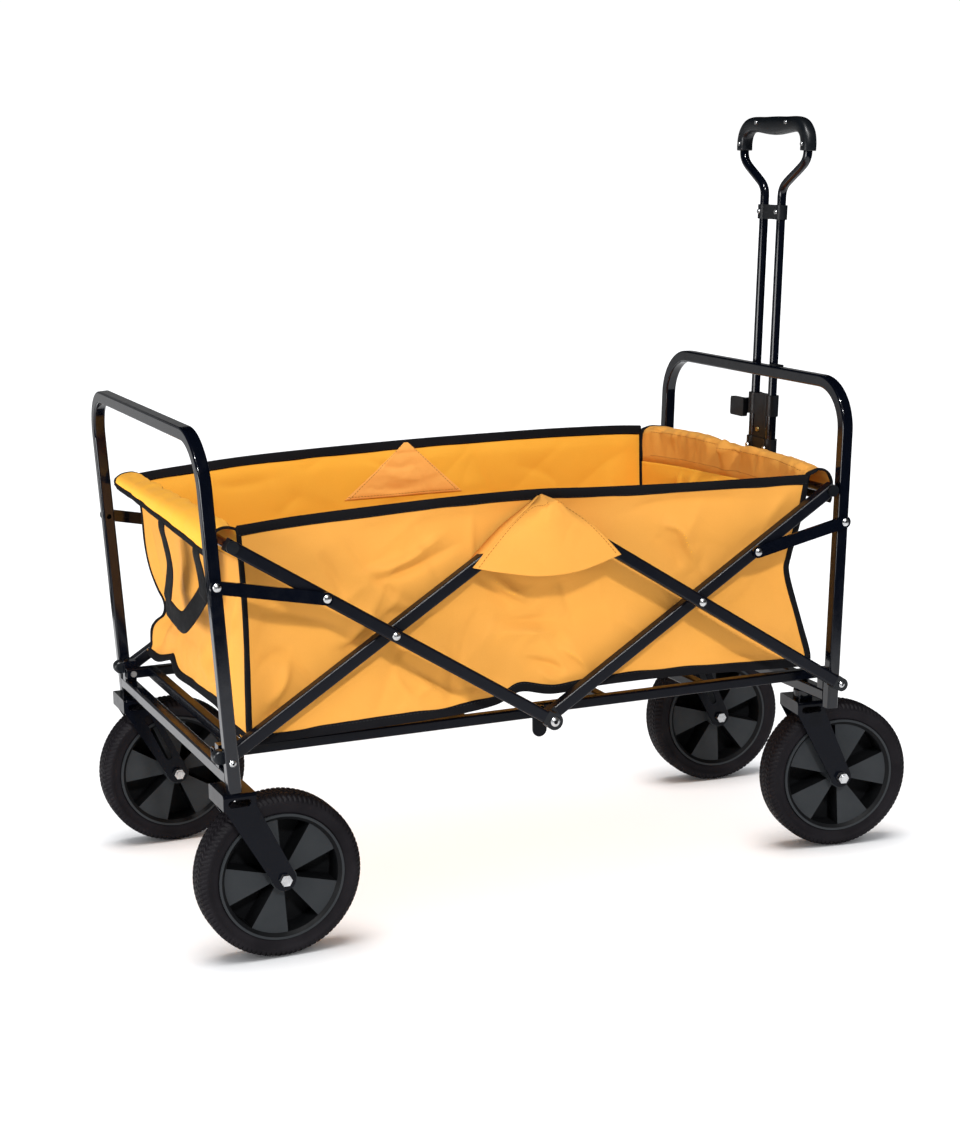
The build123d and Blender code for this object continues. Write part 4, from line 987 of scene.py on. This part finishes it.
def build_end(end):
    if end == "rear":
        left, right = cut_line(FAR_REAR, 243, 433), cut_line(NEAR_REAR, 231, 431)
        low = [tuple(left[0])] + [(-348.5, y, z) for y, z in REAR_LOW[1:-1]] + [tuple(right[0])]
        top = [tuple(left[-1]), (-347.5, 120, 434), (-347.5, 0, 432), (-347, -120, 431), tuple(right[-1])]
        folds = [
            ([(-20, 425), (-32, 380), (-52, 335)], -6.0, 11, 0.55), ([(20, 428), (8, 385), (14, 350)], 4.0, 15, 0.3),
            ([(-130, 425), (-122, 380), (-105, 340)], 4.5, 16, -0.4), ([(-75, 430), (-78, 390), (-84, 350)], -3.0, 18, 0.2),
            ([(-62, 318), (-92, 300), (-108, 276)], -5.0, 13, 0.5), ([(-30, 300), (-72, 282), (-112, 268)], 4.5, 16, -0.4),
            ([(40, 322), (70, 300), (110, 290)], -4.0, 14, 0.4), ([(150, 330), (110, 316), (60, 318)], 5.0, 16, 0.4),
            ([(-150, 300), (-120, 282), (-90, 262)], 3.6, 12, 0.4), ([(-190, 400), (-160, 330), (-175, 260)], 3.0, 14, 0.3),
            ([(170, 420), (150, 360), (138, 312), (150, 275), (175, 250)], -9.0, 24, 0.0), ([(30, 280), (10, 268), (-30, 262)], -3.0, 10, 0.3),
        ]
    else:
        left, right = cut_line(NEAR_FRONT, 242, 438), cut_line(FAR_FRONT, 243, 431)
        low = [tuple(left[0])] + [(348.5, y, z) for y, z in FRONT_LOW[1:-1]] + [tuple(right[0])]
        top = [tuple(left[-1]), (346, -110, 439), (347, -40, 439), (347, 60, 435.5), (346, 130, 433), tuple(right[-1])]
        folds = random_folds(31, 13, (-170, 170, 275, 425), (70, 160), (2.4, 5.0), (10, 18), (90, 22))
        folds += [([(y, 436), (y + 4, 415), (y - 3, 392)], a, w, 0.3) for y, a, w in ((60, 3.6, 7), (20, -4.2, 8), (-18, 4.0, 8), (110, -3.0, 9))]
    g = coons(low, top, left, right, 66, 130)
    nr, nc = g.shape[:2]
    y, z = g[..., 1], g[..., 2]
    q = np.stack([y, 0 * y, z], -1)
    h = fold_field(y, z, folds) + 2.6 * noise(q, 1 / 95.0, 21) + 1.3 * noise(q, 1 / 45.0, 22) + 0.4 * noise(q, 1 / 20.0, 23)
    s = -1 if end == "rear" else 1
    h = np.where(h > 0, 7.0 * np.tanh(h / 7.0), h)
    fade = rim_fade(nr, nc, 6, 8)
    g[..., 0] += s * (h - 1.5) * fade
    g = W(g)
    v, f = thick_sheet(g, SHEET_T)
    # the inward face takes the brighter inside copy of the cloth: painted bounce light
    ob = mesh_obj(f"end_panel_{end}", v, f, [M_WALL, M_INSIDE_LIT], face_mat=two_faced(g, (-s, 0, 0)))
    parts = [(*binding(g, "bottom", 0.0100, wave=0.15, seed=12), 0)]
    parts += [(*binding(g, "left", 0.0075 if end == "rear" else 0.004, wave=0.1, seed=14), 0)]
    parts += [(*binding(g, "right", 0.004, wave=0.1, seed=15), 0)]
    tv, tf, tm = join_parts(parts)
    tape = mesh_obj(f"end_binding_{end}", tv, tf, M_TAPE)
    body = "basket" if end == "rear" else "basket_front"
    for o in (ob, tape):
        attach(o, body)
    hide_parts(f"fabric_{end}_end")
    return g


def at_y(pairs, ys):
    a = np.array(sorted(pairs), float)
    out = np.interp(ys, a[:, 0], a[:, 1])
    k = np.hanning(9)
    return np.convolve(np.pad(out, 4, mode="edge"), k / k.sum(), "valid")


def build_sleeve(end, panel):
    """The hem round the rod: from the end panel's sewn edge up the inside, over the rod and down the outside to a bound edge."""
    n = panel.shape[1]
    seam = panel[-1] * 1000 + np.array([OX, 0, 0])
    ys = seam[:, 1].copy()
    if end == "rear":
        prof = [(-346.5, 0.0), (-345.2, 0.32), (-344.2, 0.66), (-346.5, 0.9), (-353.5, 1.0), (-362.5, 0.985), (-370.0, 0.86),
                (-374.6, 0.62), (-375.0, 0.34), (-372.5, 0.0)]
        top = at_y([(204, 467), (120, 467.4), (0, 467), (-80, 467.3), (-150, 466), (-204, 465.6)], ys)
        low = at_y([(204, 448.5), (126, 446.5), (-18, 440.5), (-166, 432.5), (-204, 430.5)], ys)
        ends = (203.8, -203.8)
    else:
        prof = [(346.5, 0.0), (345.2, 0.32), (344.4, 0.66), (346.8, 0.9), (353.5, 1.0), (362.5, 0.985), (369.5, 0.86),
                (373.8, 0.62), (374.2, 0.34), (371.5, 0.0)]
        top = at_y([(204, 476.0), (150, 478.0), (67, 480), (30, 478.5), (2, 474.6), (-22, 478.2), (-130, 478.6), (-201, 473)], ys)
        low = at_y([(204, 436), (-204, 434)], ys)
        ends = (-203.0, 203.0)
    ys = np.interp(np.linspace(0, 1, n), [0, 0.06, 0.94, 1], [ends[0], ys[int(0.06 * n)], ys[int(0.94 * n)], ends[1]])
    p = curve(prof, 40)
    g = np.zeros((len(p), n, 3))
    f = p[:, 1]
    half = int(np.argmax(f))
    w_in = (1 - smoothstep(0.0, 0.75, np.arange(len(p)) / half))[:, None]
    for j in range(n):
        lowz = np.where(np.arange(len(p)) <= half, seam[j, 2], low[j])
        g[:, j, 0] = p[:, 0]
        g[:, j, 1] = ys[j]
        g[:, j, 2] = lowz + f * (top[j] - lowz)
    if end == "front":  # the far end of the inside face reaches the corner of the side panel
        back = 1 - smoothstep(0.8 * half, 1.6 * half, np.arange(len(p)))
        g[..., 0] -= 11.0 * smoothstep(140, 203, ys)[None, :] * back[:, None]
    g[..., 0] = g[..., 0] * (1 - w_in) + seam[None, :, 0] * w_in
    g[..., 1] = g[..., 1] * (1 - w_in) + seam[None, :, 1] * w_in
    g = W(g)
    nr = grid_normals(g)
    # soft cross folds, stronger on the inside face
    row = np.linspace(0, 1, len(p))[:, None]
    inner, outer = (0.0026, 0.0007) if end == "front" else (0.0010, 0.0009)
    amp = inner * (1 - smoothstep(0.20, 0.38, row)) + outer
    q = g.copy()
    q[..., 2] *= 0.3
    q[..., 0] *= 0.2
    cross = noise(q, 38, 71 if end == "rear" else 83) + 0.6 * noise(q, 85, 72)
    if end == "front":
        yy = g[0, :, 1][None, :] * 1000
        for c, a, wd in ((2, -2.4, 9), (-24, 1.6, 10), (38, 1.5, 12), (-70, -1.4, 10), (95, -1.2, 12), (-120, 1.2, 14)):
            cross = cross + a * np.exp(-(((yy - c) / wd) ** 2))
        slant = g * np.array([1.0, 1.0, 0.55]) + np.array([0.0, 0.35, 0.0]) * g[..., 2:3]
        cross = cross + 1.7 * np.exp(-np.abs(noise(slant, 26, 91)) / 0.16) - 1.1 * np.exp(-np.abs(noise(slant, 44, 92)) / 0.18)
    g = g + nr * (amp * cross * np.minimum(1, row * 10) * (1 - 0.6 * smoothstep(0.85, 1.0, row)))[..., None]
    v, f2 = thick_sheet(g, SHEET_T)
    # the rear hem takes the brighter copy of the orange cloth: painted light
    ob = mesh_obj(f"hem_{end}", v, f2, M_ROLL_LIT if end == "rear" else M_WALL)
    parts = [(*binding(g, "top", 0.0085, wave=0.10, seed=31), 0), (*binding(g, "left", 0.0048, wave=0.1, seed=32), 0),
             (*binding(g, "right", 0.0048, wave=0.1, seed=33), 0)]
    tv, tf, tm = join_parts(parts)
    tape = mesh_obj(f"hem_binding_{end}", tv, tf, M_TAPE)
    nrm = grid_normals(g)
    lines = []
    for r in (1, 5):
        for sg in (1, -1):
            lines.append((*stitches(g[r, 6:-6], nrm[r, 6:-6] * sg, lift=0.0007), 0))
    sv, sf, sm = join_parts(lines)
    thread = mesh_obj(f"hem_stitching_{end}", sv, sf, M_THREAD)
    body = "basket" if end == "rear" else "basket_front"
    for o, sl in ((ob, "fabric_orange"), (tape, "webbing_black"), (thread, "fabric_orange")):
        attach(o, body)
    return g


G_REAR = build_end("rear")
G_FRONT = build_end("front")
G_HEM_R = build_sleeve("rear", G_REAR)
G_HEM_F = build_sleeve("front", G_FRONT)


# ---------------------------------------------------------------- flaps over the upper centre joints
def build_flap(side):
    s = -1 if side == "near" else 1
    L = curve([(-1.0, -207.6, 473.5), (-20, -215, 460), (-46, -221, 442), (-70, -225, 421), (-89, -226.5, 402)], 34)
    R = curve([(-1.0, -207.6, 473.5), (18, -222, 461.5), (42, -236, 444), (62, -240.5, 424.5), (80, -241, 404.5)], 34)
    low = curve([(-89, -226.5, 402), (-60, -236, 396.0), (-17, -243, 389.5), (30, -243.5, 391.5), (80, -241, 404.5)], 45)
    nr, nc = 34, 45
    g = np.zeros((nr, nc, 3))
    f0 = (low - low[0]) @ (low[-1] - low[0]) / np.dot(low[-1] - low[0], low[-1] - low[0])
    for i in range(nr):
        t = i / (nr - 1)
        a, b = L[i], R[i]
        for j in range(nc):
            line = a + (b - a) * f0[j]
            bow = low[j] - (low[0] + (low[-1] - low[0]) * f0[j])
            g[i, j] = line + bow * t**1.4
    fixed = np.zeros((nr, nc), bool)
    fixed[0] = fixed[-1] = True
    fixed[:, 0] = fixed[:, -1] = True

    def need(x, z):
        """Outward face that the cloth has to clear at (x, z): the two tubes and the rivet."""
        sl = math.tan(math.radians(32.27))
        out = np.full(x.shape, -208.5)
        db = np.abs((z - 456 + sl * np.abs(x)) * math.cos(math.radians(32.27)))
        out = np.where((x < 14) & (db < 8.5), -225.0, out)
        out = np.where((x > -14) & (db < 8.5), -240.0, out)
        r = np.hypot(x, z - 456)
        out = np.where(r < 15.0, -240.2, out)
        out = np.where(r < 8, -242.6, out)
        return out

    y = g[..., 1].copy()
    clear = need(g[..., 0], g[..., 2])
    for _ in range(900):
        q = y.copy()
        q[1:-1, 1:-1] = 0.25 * (y[:-2, 1:-1] + y[2:, 1:-1] + y[1:-1, :-2] + y[1:-1, 2:])
        y = np.where(fixed, y, np.minimum(q, clear))
    for _ in range(8):  # soften
        q = y.copy()
        q[1:-1, 1:-1] = 0.5 * y[1:-1, 1:-1] + 0.125 * (y[:-2, 1:-1] + y[2:, 1:-1] + y[1:-1, :-2] + y[1:-1, 2:])
        y = np.where(fixed, y, np.minimum(q, clear + 1.0))
    q3 = g * np.array([1.0, 0.0, 1.0])
    soft = 0.9 * noise(q3, 1 / 40.0, 51) + 0.5 * noise(q3, 1 / 18.0, 52)
    g[..., 1] = y - np.abs(soft) * rim_fade(nr, nc, 5, 6)
    if s > 0:
        g[..., 1] *= -1
        g[..., 2] += 2.0
    g = W(g)
    g = finer(g, 2)
    if s > 0:
        g = g[:, ::-1]
    nrm = grid_normals(g)
    v, f = thick_sheet(g, SHEET_T)
    # returns down to the panel along the two sewn sides
    parts = [(v, f, 0)]
    for col, inn in ((0, 1), (-1, -2)):
        edge = g[:, col]
        back = edge.copy()
        back[:, 1] = s * 0.2068
        out_dir = edge - g[:, inn]
        out_dir /= np.maximum(np.linalg.norm(out_dir, axis=1, keepdims=True), 1e-6)
        back = back + out_dir * 0.002
        strip = np.stack([edge, edge * 0.5 + back * 0.5, back], axis=1)
        if col == 0:
            strip = strip[:, ::-1]
        sv, sf = thick_sheet(strip[2:], SHEET_T)
        parts.append((sv, sf, 0))
    vv, ff, mm = join_parts(parts)
    ob = mesh_obj(f"flap_{side}", vv, ff, M_WALL)
    lines = []
    for col in (2, -3):
        lines.append((*stitches(g[4:, col], nrm[4:, col], lift=0.0006), 0))
        lines.append((*stitches(g[4:, col], -nrm[4:, col], lift=0.0006), 0))
    lines.append((*stitches(g[-3], nrm[-3], lift=0.0006), 0))
    sv, sf, sm = join_parts(lines)
    thread = mesh_obj(f"flap_stitching_{side}", sv, sf, M_THREAD)
    # small sewn loop just under the point
    up = 2.0 if s > 0 else 0.0
    ring = []
    for k in range(28):
        a = 2 * math.pi * k / 28
        ring.append((-2.5 + 2.2 * math.cos(a) + 0.8 * math.sin(a), s * (219.0 - 6.0 * math.sin(a)), 465.5 + up + 6.0 * math.sin(a)))
    lv, lf = tube(W(ring), 0.0012, seg=8, closed=True)
    loop = mesh_obj(f"flap_loop_{side}", lv, lf, M_WALL)
    for o in (ob, thread, loop):
        ride_side(o)


build_flap("near")
build_flap("far")


# ---------------------------------------------------------------- pull strap
def build_strap():
    def band(pts, w0, w1, width=0.025, n=30):
        p = curve(pts, n)
        k = np.linspace(0, 1, n)[:, None]
        wide = np.array(w0, float) * (1 - k) + np.array(w1, float) * k
        t = np.gradient(p, axis=0)
        t /= np.linalg.norm(t, axis=1, keepdims=True)
        wide = wide - t * (wide * t).sum(1, keepdims=True)
        wide /= np.linalg.norm(wide, axis=1, keepdims=True)
        return ribbon(W(p), wide, np.cross(t, wide), width, 0.0016, rows=7)

    runs = [
        ([(-373.6, -6.0, 446), (-374.2, -5.0, 434), (-371.0, -6.0, 418), (-368.0, -11.0, 392), (-366.4, 3.0, 366), (-364.8, 22, 344)],
         (0, 1, 0), (0, 1, 0.35), 30),
        ([(-364.8, -133, 378), (-366.5, -139, 394), (-370.0, -143, 412), (-374.2, -147, 430), (-373.6, -148, 442)],
         (0, 1, -0.35), (0, 1, 0), 30),
        ([(-363.2, 31, 339.0), (-366.5, -10, 337.5), (-370.5, -50, 338.0), (-372.0, -74, 340.5), (-371.0, -90, 348), (-367.0, -115, 367),
          (-363.4, -139, 388)], (0, 0.12, 1), (0, 0.55, 1), 44),
    ]
    parts = [(*band(pts, w0, w1, n=n), 0) for pts, w0, w1, n in runs]
    total = sum(line_len(W(curve(pts, n))) for pts, w0, w1, n in runs)
    vv, ff, mm = join_parts(parts)
    ob = mesh_obj("pull_strap", vv, ff, M_WEB)
    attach(ob, "basket")
    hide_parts("fabric_pull_strap")


build_strap()


# ---------------------------------------------------------------- padded floor, in two halves
def build_floor(end):
    s = -1 if end == "rear" else 1
    nx, ny = 84, 96
    xs = np.linspace(346.0, 0.6, nx) * s
    ys = np.linspace(-202.6, 202.6, ny)
    X, Y = np.meshgrid(xs, ys, indexing="ij")
    ax, ay = np.abs(X), np.abs(Y)
    low_near = np.interp(X, *np.array(sorted(NEAR_LOW)).T) + 3.5
    low_far = np.interp(X, *np.array(sorted(FAR_LOW)).T) + 3.5
    low_end = np.interp(Y, *np.array(sorted(REAR_LOW if end == "rear" else FRONT_LOW)).T) + 3.0
    base = 230.4 + 10.5 * smoothstep(86, 24, ax)
    wall = np.where(Y < 0, low_near, low_far)
    side_w = smoothstep(112, 203, ay) ** 1.3
    rise = base + np.maximum(wall - base, 0) * side_w
    end_w = smoothstep(262, 346, ax) ** 1.3
    if end == "front":
        end_w = end_w * smoothstep(36, 70, ay)
    rise = rise + np.maximum(low_end - rise, 0) * end_w
    pad = smoothstep(80, 92, ax) * smoothstep(346, 330, ax) * smoothstep(199, 182, ay)
    p3 = np.stack([X, Y, 0 * X], -1)
    nz = noise(p3, 0.02, 5) + 0.5 * noise(p3, 0.05, 6)
    crown = 2.4 * (1 - ((ax - 218) / 134) ** 2).clip(0, 1) * (1 - (ay / 195) ** 2).clip(0, 1)
    top = rise + 1.2 + pad * (3.6 + crown + 0.5 * nz) + (1 - pad) * 0.5 * nz
    low = rise + (1 - pad) * 0.5 * nz
    for c in (130.0, 218.0, 306.0):  # sewn channels across the board
        top -= pad * 1.9 * np.exp(-(((ax - c) / 4.5) ** 2))
    verts = np.vstack([W(np.stack([X, Y, top], -1)).reshape(-1, 3), W(np.stack([X, Y, low], -1)).reshape(-1, 3)])
    m = nx * ny
    fl = s > 0
    faces = grid_faces(nx, ny, flip=not fl) + grid_faces(nx, ny, m, flip=fl)
    ring = (
        [(0, c) for c in range(ny)] + [(r, ny - 1) for r in range(1, nx)]
        + [(nx - 1, c) for c in range(ny - 2, -1, -1)] + [(r, 0) for r in range(nx - 2, 0, -1)]
    )
    idx = [r * ny + c for r, c in ring]
    for k in range(len(idx)):
        i, j = idx[k], idx[(k + 1) % len(idx)]
        q = (j, i, m + i, m + j)
        faces.append(q if not fl else q[::-1])
    ob = mesh_obj(f"floor_cushion_{end}", verts, faces, M_FLOORCLOTH)
    g = W(np.stack([X, Y, top], -1))
    nrm = np.zeros_like(g)
    nrm[..., 2] = 1.0
    lines = []
    for c in (130.0, 218.0, 306.0):
        r = int(np.argmin(np.abs(np.abs(xs) - c)))
        lines.append((*stitches(g[r, 8:-8], nrm[r, 8:-8], lift=0.0003), 0))
    sv, sf, sm = join_parts(lines)
    thread = mesh_obj(f"floor_stitching_{end}", sv, sf, M_THREAD)
    for o in (ob, thread):
        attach(o, f"floor_{end}")
    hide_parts(f"floor_{end}_pad")


build_floor("rear")
build_floor("front")

# ---------------------------------------------------------------- stage, light, camera
def disc(radii):
    v = [(r * math.cos(2 * math.pi * k / 96), r * math.sin(2 * math.pi * k / 96), 0.0) for r in radii for k in range(96)]
    return v, grid_faces(len(radii), 96, wrap=True)


M_STAGE, nt, N, L, P = nodes_of("studio_floor")
co = N.new("ShaderNodeTexCoord").outputs["Object"]
L.new(ramp(N, L, noise_node(N, L, co, 1.5), [(0.3, (0.86, 0.86, 0.865)), (0.7, (0.89, 0.89, 0.89))]), P.inputs["Base Color"])
P.inputs["Roughness"].default_value = 0.9
P.inputs["Specular IOR Level"].default_value = 0.0
# only the floor close by shows in the gloss paint
stage = mesh_obj("studio_floor", *disc([0.0, 0.5, 1.0, 1.5]), M_STAGE)
stage_out = mesh_obj("studio_floor_outer", *disc([1.5, 2.5, 6.0, 14.0, 30.0, 60.0]), M_STAGE)
stage_out.visible_glossy = False

world = bpy.data.worlds.new("studio")
bpy.context.scene.world = world
world.use_nodes = True
bg = world.node_tree.nodes["Background"]
WN, WL = world.node_tree.nodes, world.node_tree.links
way = WN.new("ShaderNodeSeparateXYZ")
WL.new(WN.new("ShaderNodeTexCoord").outputs["Generated"], way.inputs[0])
WL.new(  # a white room, dimmer overhead
    ramp(WN, WL, way.outputs["Z"], [(0.10, (1.04, 1.04, 1.045)), (0.24, (0.80, 0.81, 0.83)), (0.60, (0.60, 0.61, 0.63))]), bg.inputs["Color"]
)
bg.inputs["Strength"].default_value = 1.0
world.cycles_visibility.glossy = False  # gloss shows the floor and the lamps, not the white room


def sun(name, travel, strength, angle):
    la = bpy.data.lights.new(name, "SUN")
    la.energy = strength
    la.angle = math.radians(angle)
    ob = bpy.data.objects.new(name, la)
    bpy.context.scene.collection.objects.link(ob)
    ob.rotation_mode = "QUATERNION"
    ob.rotation_quaternion = Vector(travel).normalized().to_track_quat("-Z", "Y")
    return ob


key = sun("key", (0.10, 0.78, -0.60), 2.0, 5.0)
# a small hard lamp for the streaks on gloss paint
glint = sun("glint", (0.30, 0.45, -0.84), 3.0, 3.0)
glint.visible_diffuse = False
# a low soft box beside the rear end
box = bpy.data.lights.new("side_box", "AREA")
box.shape = "RECTANGLE"
box.size, box.size_y = 1.4, 0.7
box.energy = 28.0
box_ob = bpy.data.objects.new("side_box", box)
bpy.context.scene.collection.objects.link(box_ob)
box_ob.location = (-2.0, -0.5, 0.40)
box_ob.rotation_mode = "QUATERNION"
box_ob.rotation_quaternion = Vector((1.0, 0.25, -0.05)).normalized().to_track_quat("-Z", "Y")
# dim cards on the far side, seen only in the gloss: one upright, one on the floor
cards = []
for name, size, energy, place, way in (
    ("far_card", (7.0, 0.9), 4.0, (0.6, 3.0, 1.0), (0.0, -1.0, 0.0)), ("far_floor_card", (16.0, 10.6), 280.0, (-4.0, 6.8, 0.02), (0.0, 0.0, 1.0)),
):
    card = bpy.data.lights.new(name, "AREA")
    card.shape = "RECTANGLE"
    card.size, card.size_y = size
    card.energy = energy
    card_ob = bpy.data.objects.new(name, card)
    bpy.context.scene.collection.objects.link(card_ob)
    card_ob.location = place
    card_ob.rotation_mode = "QUATERNION"
    card_ob.rotation_quaternion = Vector(way).to_track_quat("-Z", "Y")
    card_ob.visible_diffuse = False
    card_ob.visible_camera = False
    cards.append(card_ob)
# the floor has a lamp of its own, which only the wheels shade, so it stays pale under the wagon
floor_lamp = sun("floor_lamp", (0.10, 0.06, -1.0), 2.5, 40.0)
lit = bpy.data.collections.new("wagon")
wheels = bpy.data.collections.new("wheels")
ground = bpy.data.collections.new("ground")
ground.objects.link(stage)
ground.objects.link(stage_out)
for ob in bpy.context.scene.objects:
    if ob.type == "MESH" and ob not in (stage, stage_out):
        lit.objects.link(ob)
        if ob.name.startswith("tyre_"):
            wheels.objects.link(ob)
for lamp in (key, glint, box_ob, *cards):
    lamp.light_linking.receiver_collection = lit
floor_lamp.light_linking.receiver_collection = ground
floor_lamp.light_linking.blocker_collection = wheels

f_px, yaw, pitch, roll = 2146.0575, math.radians(22.8647), math.radians(-11.5244), math.radians(-0.8675)
fwd = np.array([math.sin(yaw) * math.cos(pitch), math.cos(yaw) * math.cos(pitch), math.sin(pitch)])
right = np.array([math.cos(yaw), -math.sin(yaw), 0.0])
up = np.cross(right, fwd)
r2 = right * math.cos(roll) + up * math.sin(roll)
u2 = -right * math.sin(roll) + up * math.cos(roll)
cam = bpy.data.cameras.new("camera")
cam.sensor_fit = "AUTO"
cam.sensor_width = 36.0
cam.lens = f_px * 36.0 / 1140.0
cam.clip_end = 200.0
cam_ob = bpy.data.objects.new("camera", cam)
bpy.context.scene.collection.objects.link(cam_ob)
loc = W((-963.0127, -2314.4501, 861.6702))
mat = Matrix(
    ((r2[0], u2[0], -fwd[0], loc[0]), (r2[1], u2[1], -fwd[1], loc[1]), (r2[2], u2[2], -fwd[2], loc[2]), (0, 0, 0, 1))
)
cam_ob.matrix_world = mat
bpy.context.scene.camera = cam_ob
bpy.context.scene.view_settings.view_transform = "Standard"
